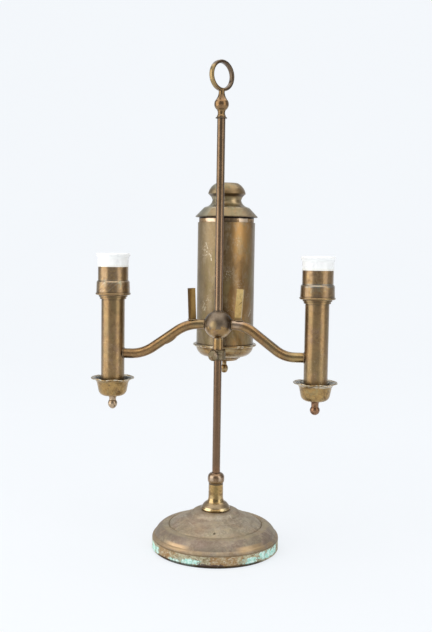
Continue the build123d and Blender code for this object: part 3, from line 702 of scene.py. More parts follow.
class LAMP_OT_hub(LampOperator, bpy.types.Operator):
    """Hub: grey patina over the top of the ball, its dark tone also a painted reflection of the room above,
    painted shade on the right, a painted highlight at the front left, golden below with a painted reflection
    of the floor, and a mottled clamp
    """
    bl_idname = "lamp.hub"
    bl_label = "Hub and clamp"

    def execute(self, context):
        tones = colours()
        finish = Finish("hub_brass")
        share = worn_brass(finish, tones.brass, tones.rose, tones.gold, 9.0, mottle=60.0,
                           patina_share=0.4, grain=0.2)
        # Grey over the top of the ball: a dull film whose dark tone also paints the reflection of the room
        # above.
        film = finish.ragged(finish.rising("Z", 268, 290), 160, 2.0, 6.0)
        grey = finish.blend(finish.noise(400, 5.0, 0.7, 4.0), (0.055, 0.042, 0.03), (0.21, 0.165, 0.12))
        finish.tint(film, 0.85, grey)
        # Painted shade on the right of the ball.
        dark = finish.times(finish.near((15, -9, 286), 15, 0.3), finish.clouds(150, 12.0, 0.6))
        finish.tint(dark, 0.9, (0.035, 0.02, 0.01))
        # Painted highlight at the front left of the ball.
        glow = finish.near((-4, -17, 283), 6.5, 0.2, 3.0, 250)
        finish.tint(glow, 0.6, (0.50, 0.36, 0.17))
        # Painted highlight low on the ball, where it reflects the pale floor, broken by noise.
        pale = finish.times(finish.tier(264, 270, 2.0),
                            finish.span(finish.noise(260, 4.0, 0.7, 37.0), 0.5, 0.6))
        finish.tint(pale, 0.6, (0.46, 0.40, 0.28))
        hairlines = finish.scratches(1.2, 0.6)
        finish.tint(hairlines, 0.5, (0.5, 0.43, 0.33))
        finish.corner_grime_and_shade(2.0, 0.9)
        assign(finish.done(finish.between(film, 0.3, 0.45), coat=0.4), "hub_ball", "hub_sleeve")
        clamp = Finish("clamp_brass")
        share = worn_brass(clamp, (0.20, 0.165, 0.115), tones.umber, tones.ash, 19.0, mottle=150.0,
                           grain=0.5)
        nicks = clamp.span(clamp.noise(520, 3.0, 0.6, 14.0, (1, 1, 0.25), (20, 0, 0)), 0.55, 0.66)
        clamp.tint(nicks, 0.6, (0.16, 0.13, 0.09))
        pinkish = clamp.span(clamp.noise(210, 4.0, 0.6, 54.0), 0.55, 0.65)
        clamp.tint(pinkish, 0.5, (0.38, 0.27, 0.21))
        clamp.bump(nicks, 0.4, 0.3)
        clamp.corner_grime_and_shade(1.2, 0.9)
        assign(clamp.done(clamp.between(share, 0.42, 0.58)), "clamp_collar", "thumb_screw")
        return {"FINISHED"}


def lay_solder(name, size, turn, place, material):
    """Shapes the primitive just added into a run of solder: sized, turned about Y, then placed."""
    piece = bpy.context.object
    piece.name = piece.data.name = name
    bpy.ops.object.mode_set(mode="EDIT")
    bpy.ops.mesh.select_all(action="SELECT")
    bpy.ops.transform.resize(value=size, center_override=(0, 0, 0))
    bpy.ops.transform.rotate(value=math.radians(turn), orient_axis="Y", center_override=(0, 0, 0))
    bpy.ops.transform.translate(value=Vector(place) * MM)
    bpy.ops.object.mode_set(mode="OBJECT")
    finish_piece(piece, material, "arm_brass", 60.0)


def solder_ring(name, across, thickness, place, material):
    """A fillet of solder round a tube that lies along X."""
    deselect()
    bpy.ops.mesh.primitive_torus_add(major_radius=across * MM, minor_radius=thickness * MM,
                                     major_segments=56, minor_segments=14, location=(0, 0, 0))
    lay_solder(name, (1, 1, 0.8), 90, place, material)


def solder_blob(name, size, turn, place, material):
    """A flat lump of solder, longer than wide."""
    deselect()
    bpy.ops.mesh.primitive_uv_sphere_add(segments=32, ring_count=16, radius=MM, location=(0, 0, 0))
    lay_solder(name, size, turn, place, material)


class LAMP_OT_arms(LampOperator, bpy.types.Operator):
    """Arms and the two upright strips, soldered on: grey film on top, a painted highlight on the right arm by
    the hub, the right strip much paler than the left
    """
    bl_idname = "lamp.arms"
    bl_label = "Arms and strips"

    def execute(self, context):
        tones = colours()
        finish = Finish("arm_brass")
        share = worn_brass(finish, (0.25, 0.145, 0.058), (0.20, 0.105, 0.048), (0.36, 0.22, 0.085), 23.0,
                           mottle=60.0, grain=0.06, specks=0.25)
        olive = finish.span(finish.noise(52, 5.0, 0.65, 29.0), 0.5, 0.64)
        finish.tint(olive, 0.45, (0.19, 0.155, 0.075))
        slope = finish.near((62, 0, 268), 20, 0.4, 8.0, 150)
        film = finish.times(slope, finish.rising("Y", -4.0, -0.5))
        finish.tint(film, 0.7, (0.13, 0.13, 0.13))
        # Painted highlight along the top of the right arm by the hub.
        root = finish.near((24, -3, 286), 12, 0.3, 5.0, 200)
        finish.tint(root, 0.55, (0.44, 0.34, 0.27))
        finish.tint(finish.near((98, 0, 243), 14, 0.4, 6.0, 200), 0.45, (0.40, 0.29, 0.11))
        finish.tint(finish.scratches(1.0, 0.4), 0.4, tones.gold)
        finish.corner_grime_and_shade(3.0, 0.85)
        material = finish.done(finish.between(share, 0.28, 0.44), coat=0.5)
        assign(material, "left_arm", "right_arm", "tank_link")
        solder_blob("left_arm_lump", (12.5, 4.4, 4.6), 36.0, (-60.8, 0, 263.2), material)
        self.strips()
        self.solder()
        return {"FINISHED"}

    def strips(self):
        tones = colours()
        pale = Finish("strip_gold")
        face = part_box("right_strip")[0].y / MM
        share = worn_brass(pale, (0.68, 0.50, 0.23), (0.50, 0.34, 0.14), (0.76, 0.62, 0.36), 27.0,
                           mottle=120.0, patina_share=0.4, grain=0.15, streaks=0.15)
        pale.tint(pale.tier(284, 309, 4.0), 0.4, (0.50, 0.31, 0.11))
        long_mark = ((21.5, face, 303), (30, face, 311.5), 0.7)
        short_mark = ((23, face, 316), (24.5, face, 327), 0.4)
        for start, end, wide in (long_mark, short_mark):
            pale.tint(pale.stroke(start, end, wide), 0.8, (0.12, 0.075, 0.03))
        pale.tint(pale.ragged(pale.tier(286, 290.5, 2.0), 300, 0.7, 3.0), 0.7, (0.16, 0.10, 0.05))
        pale.corner_grime_and_shade(1.5)
        assign(pale.done(pale.between(share, 0.42, 0.55)), "right_strip")
        brown = Finish("strip_brown")
        share = worn_brass(brown, (0.15, 0.085, 0.027), tones.umber, (0.22, 0.135, 0.05), 29.0,
                           mottle=110.0, grain=0.15, streaks=0.15)
        brown.tint(brown.rising("X", -34.5, -33.0), 0.5, (0.36, 0.24, 0.09))
        brown.corner_grime_and_shade(1.5)
        assign(brown.done(brown.between(share, 0.42, 0.55)), "left_strip")

    def solder(self):
        """Fillets where the arms meet the ball and the tubes, and lumps under the strips."""
        tones = colours()
        material = brass_finish("solder", (0.24, 0.17, 0.095), tones.umber, tones.rose, 31.0,
                                (0.42, 0.58), mottle=180.0, patina_share=0.55, grain=0.4)
        width = details().solder / MM
        for side, sign in (("left", -1), ("right", 1)):
            arm_low, arm_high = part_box(side + "_arm")
            tube_low, tube_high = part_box(side + "_burner_tube")
            radius = (arm_high.y - arm_low.y) / 2 / MM
            tube_radius = (tube_high.y - tube_low.y) / 2 / MM
            outer = (BURNER_X[side] / MM) - sign * (tube_radius - 0.5)
            solder_ring(side + "_tube_solder", radius + 0.1, width * 0.75,
                        (outer, 0, arm_low.z / MM + radius), material)
            solder_ring(side + "_hub_solder", radius, width * 0.6,
                        (sign * 17.0, 0, arm_high.z / MM - radius), material)
            strip = middle_of(side + "_strip")
            solder_blob(side + "_strip_solder", (6.2, 4.6, 1.5), sign * 3.0,
                        (strip.x / MM - sign * 1.0, 0, arm_high.z / MM - 0.7), material)


class LAMP_OT_cistern(LampOperator, bpy.types.Operator):
    """Cistern: pale olive left with a broad painted highlight and a painted reflection along its edge,
    painted dark shade in the middle and orange right, with scratches and flecks
    """
    bl_idname = "lamp.cistern"
    bl_label = "Cistern"

    def wall(self, bearing, height):
        return on_wall(CISTERN_AXIS, CISTERN_RADIUS, bearing, height)

    def execute(self, context):
        tones = colours()
        finish = Finish("cistern_brass")
        share = worn_brass(finish, (0.205, 0.132, 0.058), (0.135, 0.082, 0.032), (0.28, 0.185, 0.085),
                           33.0, mottle=30.0, patina_share=0.48, streaks=0.2)
        around = finish.bearing(CISTERN_AXIS)
        # Pale film on the left, its tone also a broad painted highlight.
        pale = finish.times(finish.sector(around, -58, 20, 44), finish.clouds(24, 43.0, 0.4))
        finish.tint(pale, 0.6, (0.27, 0.215, 0.125))
        # Painted reflection of the bright left side along the left edge.
        edge = finish.times(finish.sector(around, -86, 8, 22), finish.clouds(40, 41.0, 0.35))
        finish.tint(edge, 0.6, (0.44, 0.41, 0.34))
        near_rod = finish.times(finish.sector(around, -22, 5, 12), finish.clouds(40, 45.0, 0.3))
        finish.tint(near_rod, 0.35, (0.36, 0.27, 0.145))
        # Painted shade: a dark band down the front of the wall.
        dark = finish.times(finish.sector(around, 14, 9, 20), finish.clouds(26, 47.0, 0.45))
        finish.tint(dark, 0.75, (0.070, 0.040, 0.012))
        orange = finish.times(finish.sector(around, 42, 9, 26), finish.clouds(32, 49.0, 0.3))
        finish.tint(orange, 0.85, (0.45, 0.245, 0.075))
        brown = finish.times(finish.sector(around, 66, 7, 14), finish.clouds(30, 51.0, 0.3))
        finish.tint(brown, 0.4, (0.17, 0.098, 0.034))
        purple = finish.times(finish.sector(around, 92, 12, 14), finish.clouds(60, 53.0, 0.4))
        finish.tint(purple, 0.6, (0.24, 0.18, 0.13))
        olive = finish.span(finish.noise(34, 5.0, 0.7, 59.0, (1, 1, 0.5)), 0.48, 0.58)
        finish.tint(olive, 0.45, (0.24, 0.185, 0.07))
        haze = finish.span(finish.noise(110, 6.0, 0.78, 57.0, (1, 1, 0.5)), 0.49, 0.59)
        finish.tint(haze, 0.3, (0.37, 0.30, 0.20))
        self.marks(finish)
        finish.tint(finish.stroke(self.wall(180, 252), self.wall(180, 409), 0.9), 0.7, tones.umber)
        finish.corner_grime_and_shade(2.5, 0.8)
        finish.tint(finish.scratches(0.8, 0.6), 0.3, (0.50, 0.42, 0.29))
        assign(finish.done(finish.between(pale, finish.between(share, 0.36, 0.5), 0.52), 0.9, coat=0.4),
               "cistern")
        bowl = Finish("bowl_brass")
        share = worn_brass(bowl, tones.brass, tones.umber, tones.gold, 37.0, mottle=60.0,
                           patina_share=0.45, grain=0.15)
        bands = bowl.span(bowl.noise(150, 4.0, 0.65, 39.0, (0.25, 0.25, 2.0)), 0.5, 0.62)
        bowl.tint(bands, 0.5, (0.34, 0.29, 0.17))
        # Painted highlight along the bowl's lip, broken by noise.
        lip = bowl.times(bowl.tier(249, 252.5, 0.5), bowl.span(bowl.noise(130, 3.0, 0.6, 91.0), 0.5, 0.6))
        bowl.tint(lip, 0.7, (0.62, 0.55, 0.42))
        bowl.corner_grime_and_shade(2.5)
        assign(bowl.done(bowl.between(share, 0.3, 0.45), coat=0.4), "cistern_bowl", "cistern_disc",
               "cistern_finial")
        assign(brass_finish("bush_brass", tones.brass, tones.umber, tones.gold, 38.0, (0.3, 0.45),
                            mottle=90.0), "cable_bush")
        return {"FINISHED"}

    def marks(self, finish):
        """Scratches and flecks of the photographed lamp, by bearing and height."""
        lines = (
            ((-36, 383, -33, 380), 0.45), ((-33, 379, -31, 376), 0.4), ((-40, 378, -36, 379), 0.35),
            ((-38, 374, -31, 371), 0.45), ((-30, 370.5, -24, 368), 0.4), ((-23.5, 367, -22, 361), 0.5),
            ((-43, 374, -39, 375), 0.35), ((-37, 367, -33, 368), 0.3), ((-43, 300, -38, 306), 0.45),
            ((-39, 297, -34, 301), 0.4), ((-33, 309, -30, 312), 0.35), ((62, 290, 70, 298), 0.5),
        )
        worn = finish.span(finish.noise(520, 4.0, 0.7, 87.0), 0.42, 0.54)
        for (b1, z1, b2, z2), width in lines:
            mark = finish.stroke(self.wall(b1, z1), self.wall(b2, z2), width + 0.5)
            finish.tint(finish.times(mark, worn), 0.85, (0.62, 0.56, 0.43))
        fine = finish.span(finish.noise(560, 5.0, 0.8, 67.0), 0.55, 0.61)
        for bearing, height, reach in ((-41, 303, 13), (-28, 312, 9), (-38, 372, 16), (66, 292, 12),
                                       (56, 316, 7), (84, 384, 7), (8, 345, 12), (20, 300, 10), (40, 330, 10),
                                       (30, 385, 10)):
            spot = finish.near(self.wall(bearing, height), reach, 0.1)
            finish.tint(finish.times(spot, fine), 0.7, (0.58, 0.51, 0.40))


class LAMP_OT_fount(LampOperator, bpy.types.Operator):
    """Fount: green-grey lid with a painted highlight on its waist and painted shade under its head, over a
    mottled can with painted highlights, painted shade at its front and a painted shadow under the lid, neck
    and valve
    """
    bl_idname = "lamp.fount"
    bl_label = "Fount"

    def execute(self, context):
        tones = colours()
        lid = Finish("lid_brass")
        share = worn_brass(lid, (0.22, 0.17, 0.10), (0.19, 0.17, 0.095), tones.brass, 41.0, mottle=45.0,
                           grain=0.15)
        around = lid.bearing(CISTERN_AXIS)
        green = lid.ragged(lid.sector(around, -75, 35, 20), 60, 0.6, 7.0)
        lid.tint(green, 0.5, (0.26, 0.27, 0.20))
        lid.tint(lid.tier(444, 451, 2.5), 0.5, (0.24, 0.145, 0.06))
        lid.tint(lid.tier(434, 441, 2.0), 0.35, (0.30, 0.22, 0.11))
        worn_edge = lid.times(lid.tier(427.2, 429.6, 0.5),
                              lid.span(lid.noise(200, 3.0, 0.6, 5.0), 0.42, 0.55))
        lid.tint(worn_edge, 0.5, (0.46, 0.41, 0.30))
        lid.tint(lid.tier(416.5, 417.6, 0.4), 0.5, tones.umber)
        # Painted shade under the edge of the lid's head.
        lid.tint(lid.tier(443.0, 445.0, 0.8), 0.75, (0.06, 0.035, 0.015))
        # Painted highlight on the right of the waist.
        lid.tint(lid.near((12.5, 43.5, 437), 6.0, 0.15), 0.75, (0.78, 0.58, 0.32))
        lid.tint(lid.scratches(0.9, 0.6), 0.35, (0.46, 0.40, 0.28))
        lid.corner_grime_and_shade(2.5)
        assign(lid.done(lid.between(share, 0.40, 0.55), 0.95, coat=0.3), "fount_lid")
        can = Finish("fount_brass")
        share = worn_brass(can, (0.42, 0.27, 0.15), tones.umber, (0.66, 0.52, 0.38), 45.0, mottle=95.0,
                           grain=0.2, streaks=0.1)
        around = can.bearing(CISTERN_AXIS)
        # Painted highlights on the left and right of the can.
        lit = can.ragged(can.sectors(around, (-28, 7, 8), (46, 8, 8)), 160, 3.6, 77.0)
        can.tint(lit, 0.8, (0.80, 0.64, 0.48))
        # Painted shade down the front of the can.
        dull = can.times(can.sector(around, 14, 12, 12), can.clouds(150, 5.0, 0.5))
        can.tint(dull, 0.8, (0.07, 0.055, 0.04))
        # Painted shadow: a near-black band under the lid's rim.
        can.tint(can.ragged(can.tier(414.6, 420.8, 0.8), 260, 1.6, 9.0), 0.97, (0.012, 0.007, 0.005))
        can.corner_grime_and_shade(2.5)
        assign(can.done(can.between(share, 0.34, 0.5), 0.9), "fount_can", "fount_neck", "fount_valve",
               "fount_rest")
        return {"FINISHED"}


def pull(piece, place, move, reach):
    """Pulls the vertex nearest to a place, with a soft falloff around it."""
    target = Vector(place) * MM
    nearest = min(piece.data.vertices, key=lambda vertex: (vertex.co - target).length)
    take(piece)
    for group in (piece.data.vertices, piece.data.edges, piece.data.polygons):
        for item in group:
            item.select = False
    nearest.select = True
    bpy.ops.object.mode_set(mode="EDIT")
    bpy.ops.mesh.select_mode(type="VERT")
    bpy.ops.transform.translate(value=Vector(move) * MM, use_proportional_edit=True,
                                proportional_edit_falloff="SMOOTH", proportional_size=reach * MM)
    bpy.ops.object.mode_set(mode="OBJECT")


class LAMP_OT_burners(LampOperator, bpy.types.Operator):
    """Burner columns: tubes, galleries, drip cups with bent rims, finials and screw shells"""
    bl_idname = "lamp.burners"
    bl_label = "Burners"

    def execute(self, context):
        tones = colours()
        tube = Finish("tube_brass")
        share = worn_brass(tube, tones.brass, (0.27, 0.175, 0.115), (0.38, 0.25, 0.11), 51.0, mottle=55.0,
                           grain=0.06, streaks=0.2)
        olive = tube.span(tube.noise(60, 5.0, 0.7, 65.0, (1, 1, 0.6)), 0.47, 0.57)
        tube.tint(olive, 0.4, (0.21, 0.155, 0.06))
        specks = tube.span(tube.noise(560, 4.0, 0.7, 63.0), 0.63, 0.68)
        specks = tube.times(specks, tube.tier(205, 255, 30.0))
        tube.tint(specks, 0.8, (0.62, 0.50, 0.34))
        tube.tint(tube.tier(194, 214, 10.0), 0.35, (0.20, 0.13, 0.05))
        tube.tint(tube.scratches(0.9, 0.4), 0.35, tones.gold)
        tube.corner_grime_and_shade(3.0, 0.85)
        assign(tube.done(tube.between(share, 0.29, 0.40), coat=0.6), *both("burner_tube", "gallery"))
        cup = Finish("cup_brass")
        share = worn_brass(cup, (0.34, 0.215, 0.085), tones.umber, tones.gold, 55.0, mottle=100.0,
                           patina_share=0.42, grain=0.2)
        film = cup.span(cup.noise(150, 5.0, 0.7, 69.0), 0.50, 0.62)
        cup.tint(film, 0.4, (0.25, 0.225, 0.115))
        dents = cup.span(cup.noise(230, 5.0, 0.75, 79.0), 0.57, 0.63)
        cup.tint(dents, 0.6, (0.075, 0.05, 0.03))
        # Painted shade: the inside of the cups darkened to near black.
        cup.tint(self.hollow(cup), 0.92, (0.035, 0.040, 0.042))
        # Painted highlight along the rolled rim, broken by noise.
        lip = cup.either(cup.tier(210.2, 212.5, 0.7), cup.tier(213.3, 215.6, 0.7))
        lip = cup.times(lip, cup.span(cup.noise(240, 4.0, 0.6, 73.0), 0.40, 0.56))
        cup.tint(lip, 0.7, (0.58, 0.55, 0.46))
        cup.corner_grime_and_shade(2.0)
        cup_material = cup.done(cup.between(share, 0.34, 0.48), 0.95, coat=0.3)
        assign(cup_material, *both("drip_cup"))
        assign(brass_finish("finial_copper", (0.22, 0.105, 0.052), tones.umber, (0.38, 0.21, 0.13), 59.0,
                            (0.24, 0.4), mottle=160.0, patina_share=0.42), "right_drip_finial")
        assign(brass_finish("finial_pink", (0.38, 0.28, 0.20), (0.20, 0.13, 0.08), (0.62, 0.50, 0.40),
                            60.0, (0.24, 0.4), mottle=160.0, patina_share=0.4), "left_drip_finial")
        inner = brass_finish("inner_brass", tones.gold, tones.brass, tones.gold, 61.0, (0.25, 0.4),
                             mottle=90.0)
        assign(inner, *both("tube_plug", "centre_contact", "screw_shell"), "terminal_screws")
        for side in ("left", "right"):
            self.drip_cup(side, cup_material)
            self.screw_shell(side, inner)
        return {"FINISHED"}

    def hollow(self, finish):
        """1 inside the cups, 0 outside them: the wall widens with height, and flares at the rim."""
        foot_radius = 16.3 * MM
        widening = 0.19
        flare_start = 16.6 * MM
        flare_growth = 140.0
        masks = []
        for side in ("left", "right"):
            across = finish.less(finish.part("X"), BURNER_X[side])
            forward = finish.part("Y")
            squares = finish.math("ADD", finish.times(across, across), finish.times(forward, forward))
            away = finish.math("SQRT", squares)
            height = finish.less(finish.part("Z"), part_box(side + "_drip_cup")[0].z)
            flare = finish.either(finish.less(height, flare_start), 0.0)
            flare = finish.times(finish.times(flare, flare), flare_growth)
            wall = finish.math("ADD", finish.times(height, widening), foot_radius)
            past = finish.less(away, finish.math("ADD", wall, flare))
            deep = finish.times(finish.span(height, 22.2 * MM, 22.9 * MM, 1.0, 0.0),
                                finish.span(height, 8 * MM, 10 * MM))
            masks.append(finish.times(finish.span(past, -0.3 * MM, 0.1 * MM, 1.0, 0.0), deep))
        return finish.either(*masks)

    def drip_cup(self, side, material):
        """Thin spun cup with a rolled lip, its rim bent out of true in a few places."""
        x = BURNER_X[side] / MM
        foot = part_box(side + "_drip_cup")[0].z / MM
        outline = [(2.0, 0.0), (10.0, 0.0)] + arc((10.0, 0.0), (15.2, 2.0), (17.9, 6.6), 6)
        outline += [(18.55, 10.0), (19.2, 13.4), (19.8, 16.4)]
        outline += arc((19.8, 16.4), (21.9, 19.8), (26.4, 22.2), 7)
        outline += arc((26.4, 22.2), (27.4, 22.4), (27.3, 23.2), 4)
        outline += arc((27.3, 23.2), (26.7, 23.5), (26.0, 23.2), 3)
        outline += arc((26.0, 23.2), (21.2, 20.4), (19.0, 16.8), 7)
        outline += [(18.4, 13.6), (17.75, 10.2), (17.1, 7.0)]
        outline += arc((17.1, 7.0), (14.6, 2.9), (9.8, 0.9), 6) + [(2.0, 0.9), (2.0, 0.0)]
        piece = turned(side + "_cup", [(r, foot + z) for r, z in outline], (x, 0), steps=120)
        wave = details().cup_wave / MM
        shift = 7 if side == "left" else 0
        dents = ((-62, -0.6), (-38, 0.5), (-15, -0.9), (12, 0.45), (34, -0.8), (58, 0.3), (96, -0.7),
                 (150, 0.4), (215, -0.8))
        for bearing, share in dents:
            place = on_wall((x, 0), CUP_RADIUS, bearing + shift, foot + 23.0)
            move = on_wall((0, 0), -0.5 * abs(share), bearing + shift, share * wave)
            pull(piece, place, move, 9.0)
        finish_piece(piece, material, "cup_brass", 50.0, side + "_drip_cup")

    def screw_shell(self, side, material):
        """Rolled thread: one wave, screwed up through the shell's height and trimmed flat."""
        sizes = details()
        pitch = sizes.thread_pitch / MM
        crest = sizes.thread_crest / MM
        root = sizes.thread_root / MM
        low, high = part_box(side + "_screw_shell")
        bottom, top = low.z / MM, high.z / MM
        turns = math.ceil((top - bottom) / pitch) + 2
        middle = (root + crest) / 2
        swing = (root - crest) / 2
        wave = [(middle + swing * math.cos(FULL_TURN * i / 10), bottom - pitch + pitch * i / 10)
                for i in range(11)]
        piece = draw_profile(side + "_thread", wave)
        bpy.ops.object.mode_set(mode="OBJECT")
        apply_modifier(piece, "SCREW", angle=FULL_TURN, screw_offset=pitch * MM, iterations=turns, steps=72,
                       render_steps=72, axis="Z")
        bpy.ops.object.mode_set(mode="EDIT")
        bpy.ops.mesh.select_all(action="SELECT")
        bpy.ops.mesh.remove_doubles(threshold=MM * 0.002)
        for height, upper in ((bottom + THREAD_WALL, False), (top - THREAD_WALL, True)):
            bpy.ops.mesh.select_all(action="SELECT")
            bpy.ops.mesh.bisect(plane_co=(0, 0, height * MM), plane_no=(0, 0, 1), clear_outer=upper,
                                clear_inner=not upper)
        bpy.ops.mesh.select_all(action="SELECT")
        bpy.ops.mesh.normals_make_consistent(inside=False)
        bpy.ops.transform.translate(value=(BURNER_X[side], 0, 0))
        bpy.ops.object.mode_set(mode="OBJECT")
        apply_modifier(piece, "SOLIDIFY", thickness=THREAD_WALL * MM, offset=1.0)
        under = top - 0.5
        section = [(13.0, under), (14.0, under), (14.0, top), (13.0, top), (13.0, under)]
        flange = turned(side + "_shell_flange", section, (BURNER_X[side] / MM, 0))
        take(piece, flange)
        bpy.ops.object.join()
        finish_piece(piece, material, "inner_brass", 50.0, side + "_screw_shell")


class LAMP_OT_holders(LampOperator, bpy.types.Operator):
    """Lampholders: brass caps and shells with white porcelain rings"""
    bl_idname = "lamp.holders"
    bl_label = "Lampholders"

    def wall(self, bearing, height):
        return on_wall((BURNER_X["left"] / MM, 0), HOLDER_RADIUS, bearing, height)

    def execute(self, context):
        tones = colours()
        finish = Finish("holder_brass")
        share = worn_brass(finish, (0.30, 0.205, 0.125), tones.brass, tones.gold, 65.0, mottle=70.0,
                           grain=0.1, streaks=0.3)
        film = finish.ragged(finish.tier(331.5, 335.0, 1.2), 200, 0.9, 13.0)
        film = finish.times(film, finish.span(finish.part("X"), 0.0, 10 * MM, 0.35, 1.0))
        film = finish.times(film, finish.clouds(180, 14.0, 0.2))
        finish.tint(film, 0.6, (0.25, 0.255, 0.23))
        green = finish.times(finish.tier(326, 334, 3.0),
                            finish.span(finish.noise(260, 5.0, 0.7, 19.0, (1, 1, 0.35)), 0.54, 0.64))
        finish.tint(green, 0.5, (0.24, 0.30, 0.22))
        smears = ((-34, 321, 2, 332), (-22, 321, 14, 332), (-46, 323, -16, 332), (0, 322, 28, 331))
        for b1, z1, b2, z2 in smears:
            mark = finish.stroke(self.wall(b1, z1), self.wall(b2, z2), 1.0)
            finish.tint(mark, 0.4, (0.50, 0.40, 0.31))
        finish.tint(finish.tier(319.0, 320.4, 0.6), 0.4, tones.umber)
        finish.tint(finish.scratches(0.9, 0.5), 0.35, tones.gold)
        finish.corner_grime_and_shade(2.5)
        assign(finish.done(finish.between(share, 0.28, 0.42), coat=0.6),
               *both("holder_cap", "holder_shell"))
        glaze = Finish("porcelain")
        cloud = glaze.noise(45, 4.0, 0.6, warp=1.5)
        glaze.base = glaze.blend(glaze.span(cloud, 0.5, 0.78), (0.86, 0.87, 0.87), (0.72, 0.74, 0.75))
        specks = glaze.span(glaze.noise(700, 2.0, 0.5, 3.0), 0.76, 0.82)
        glaze.tint(specks, 0.3, (0.3, 0.26, 0.2))
        glaze.tint(glaze.tier(348, 353, 1.5), 0.25, (0.72, 0.66, 0.50))
        # Painted shade, with grime, in the porcelain's corners, as found by ambient occlusion.
        glaze.tint(glaze.span(glaze.crevice(2.5), 0.3, 0.9, 0.4, 0.0), 1, (0.35, 0.3, 0.24))
        glaze.bump(glaze.noise(120, 3.0, 0.5), 0.08, 0.3)
        assign(glaze.done(glaze.between(cloud, 0.14, 0.28), 0.0),
               *both("porcelain_ring", "porcelain_core"))
        cover = Finish("wire_cover")
        rubber = cover.noise(600, 3.0, 0.6)
        cover.base = cover.blend(rubber, (0.03, 0.02, 0.016), (0.06, 0.045, 0.035))
        cover.bump(rubber, 0.2, 0.1)
        assign(cover.done(cover.between(rubber, 0.5, 0.65), 0.0), *both("wires"))
        return {"FINISHED"}


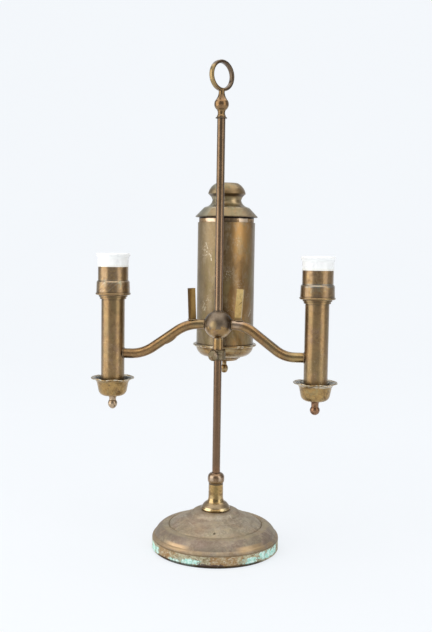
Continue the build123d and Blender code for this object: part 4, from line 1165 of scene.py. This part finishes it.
class LAMP_OT_stage(LampOperator, bpy.types.Operator):
    """Stage: camera, pale floor and backdrop, and three soft boxes"""
    bl_idname = "lamp.stage"
    bl_label = "Stage"

    def execute(self, context):
        self.place_camera(context)
        self.lay_floor()
        self.light(context)
        context.scene.view_settings.view_transform = "Standard"
        return {"FINISHED"}

    def place_camera(self, context):
        chosen = stage()
        forward = Vector((-math.sin(chosen.turn), math.cos(chosen.turn), 0))
        aside = Vector((math.cos(chosen.turn), math.sin(chosen.turn), 0))
        data = bpy.data.cameras.new("camera")
        data.lens = chosen.lens
        data.sensor_width = 36.0
        data.clip_start = 0.01
        data.clip_end = 50.0
        camera = bpy.data.objects.new("camera", data)
        context.scene.collection.objects.link(camera)
        place = -chosen.distance * forward - chosen.aside * aside + Vector((0, 0, chosen.height))
        upright = math.pi / 2 - chosen.pitch
        camera.matrix_world = (Matrix.Translation(place) @ Matrix.Rotation(chosen.turn, 4, "Z")
                               @ Matrix.Rotation(upright, 4, "X") @ Matrix.Rotation(chosen.roll, 4, "Z"))
        context.scene.camera = camera

    def lay_floor(self):
        """A floor that curves up into a backdrop, seen as one pale sheet."""
        deselect()
        half = 3.0
        bpy.ops.mesh.primitive_plane_add(size=2 * half, location=(0, 0, 0), enter_editmode=True)
        floor = bpy.context.object
        floor.name = floor.data.name = "floor"
        bpy.ops.object.mode_set(mode="OBJECT")
        for edge in floor.data.edges:
            edge.select = all(floor.data.vertices[v].co.y > 0 for v in edge.vertices)
        for vertex in floor.data.vertices:
            vertex.select = vertex.co.y > 0
        for face in floor.data.polygons:
            face.select = False
        bpy.ops.object.mode_set(mode="EDIT")
        bpy.ops.mesh.select_mode(type="EDGE")
        bpy.ops.mesh.extrude_region_move(TRANSFORM_OT_translate={"value": (0, 0, 2 * half)})
        bpy.ops.object.mode_set(mode="OBJECT")
        apply_modifier(floor, "BEVEL", width=1.2, segments=16)
        bpy.ops.object.shade_smooth()
        floor.data.materials.append(self.floor_material())

    def floor_material(self):
        chosen = stage()
        sheet = Finish("pale_floor")
        paint = sheet.node("ShaderNodeBsdfDiffuse")
        glow = sheet.node("ShaderNodeEmission")
        tone = sheet.blend(sheet.noise(2.0, 2.0), tuple(chosen.floor),
                           tuple(0.985 * c for c in chosen.floor))
        sheet.feed(paint.inputs["Color"], tone)
        sheet.feed(glow.inputs["Color"], tone)
        away = sheet.vector("LENGTH", sheet.place, (0, 0, 0), "Value")
        sheet.feed(glow.inputs["Strength"], sheet.span(away, 0.2, 0.8, 0.95, 1.0))
        path = sheet.node("ShaderNodeLightPath")
        seen = sheet.either(path.outputs["Is Camera Ray"], path.outputs["Is Transmission Ray"])
        share = sheet.times(seen, sheet.span(away, 0.2, 0.9, 0.78, 0.96))
        share = sheet.either(share, sheet.times(path.outputs["Is Glossy Ray"], 0.35))
        mixed = sheet.node("ShaderNodeMixShader")
        sheet.feed(mixed.inputs[0], share)
        sheet.feed(mixed.inputs[1], paint.outputs[0])
        sheet.feed(mixed.inputs[2], glow.outputs[0])
        sheet.feed(sheet.surface, mixed.outputs[0])
        return sheet.material

    def light(self, context):
        chosen = stage()
        boxes = (
            ("left_box", chosen.left_power, (-1.25, -0.62, 0.60), (1.5, 1.8), (1.0, 0.965, 0.91)),
            ("right_box", chosen.right_power, (1.22, -0.68, 0.60), (0.8, 1.6), (1.0, 0.965, 0.91)),
            ("top_box", chosen.top_power, (0.0, -0.1, 1.9), (2.8, 2.4), (1.0, 0.985, 0.96)),
        )
        target = Vector((0, 0.02, 0.3))
        for name, power, place, size, tint in boxes:
            data = bpy.data.lights.new(name, "AREA")
            data.shape = "RECTANGLE"
            data.size, data.size_y = size
            data.energy = power
            data.color = tint
            lamp = bpy.data.objects.new(name, data)
            context.scene.collection.objects.link(lamp)
            lamp.location = place
            lamp.rotation_mode = "QUATERNION"
            lamp.rotation_quaternion = (target - Vector(place)).to_track_quat("-Z", "Y")
        world = bpy.data.worlds.new("room")
        world.use_nodes = True
        tree = world.node_tree
        sky = tree.nodes["Background"]
        sky.inputs["Color"].default_value = (*chosen.floor, 1)
        path = tree.nodes.new("ShaderNodeLightPath")
        seen = tree.nodes.new("ShaderNodeMath")
        seen.operation = "MAXIMUM"
        tree.links.new(path.outputs["Is Camera Ray"], seen.inputs[0])
        tree.links.new(path.outputs["Is Transmission Ray"], seen.inputs[1])
        strength = tree.nodes.new("ShaderNodeMapRange")
        strength.inputs["To Min"].default_value = 0.42
        tree.links.new(seen.outputs[0], strength.inputs["Value"])
        tree.links.new(strength.outputs["Result"], sky.inputs["Strength"])
        context.scene.world = world


class VIEW3D_PT_lamp(bpy.types.Panel):
    bl_label = "Argand Lamp"
    bl_space_type = "VIEW_3D"
    bl_region_type = "UI"
    bl_category = "Argand Lamp"

    def draw(self, context):
        for made in OPERATORS:
            self.layout.operator(made.bl_idname)
        for group in (context.scene.lamp_colours, context.scene.lamp_details, context.scene.lamp_stage):
            box = self.layout.box()
            for name in group.__annotations__:
                box.prop(group, name)


OPERATORS = (
    LAMP_OT_foot, LAMP_OT_stem, LAMP_OT_rod, LAMP_OT_hub, LAMP_OT_arms, LAMP_OT_cistern, LAMP_OT_fount,
    LAMP_OT_burners, LAMP_OT_holders, LAMP_OT_stage,
)
GROUPS = {"lamp_colours": LampColours, "lamp_details": LampDetails, "lamp_stage": StageSettings}


def register():
    for name, group in GROUPS.items():
        bpy.utils.register_class(group)
        setattr(bpy.types.Scene, name, bpy.props.PointerProperty(type=group))
    for made in (*OPERATORS, VIEW3D_PT_lamp):
        bpy.utils.register_class(made)


def unregister():
    for made in reversed((*OPERATORS, VIEW3D_PT_lamp)):
        bpy.utils.unregister_class(made)
    for name, group in GROUPS.items():
        delattr(bpy.types.Scene, name)
        bpy.utils.unregister_class(group)


def main():
    register()
    bpy.ops.lamp.stage()
    bpy.ops.lamp.foot()
    bpy.ops.lamp.stem()
    bpy.ops.lamp.rod()
    bpy.ops.lamp.hub()
    bpy.ops.lamp.arms()
    bpy.ops.lamp.cistern()
    bpy.ops.lamp.fount()
    bpy.ops.lamp.burners()
    bpy.ops.lamp.holders()


if __name__ == "__main__":
    main()
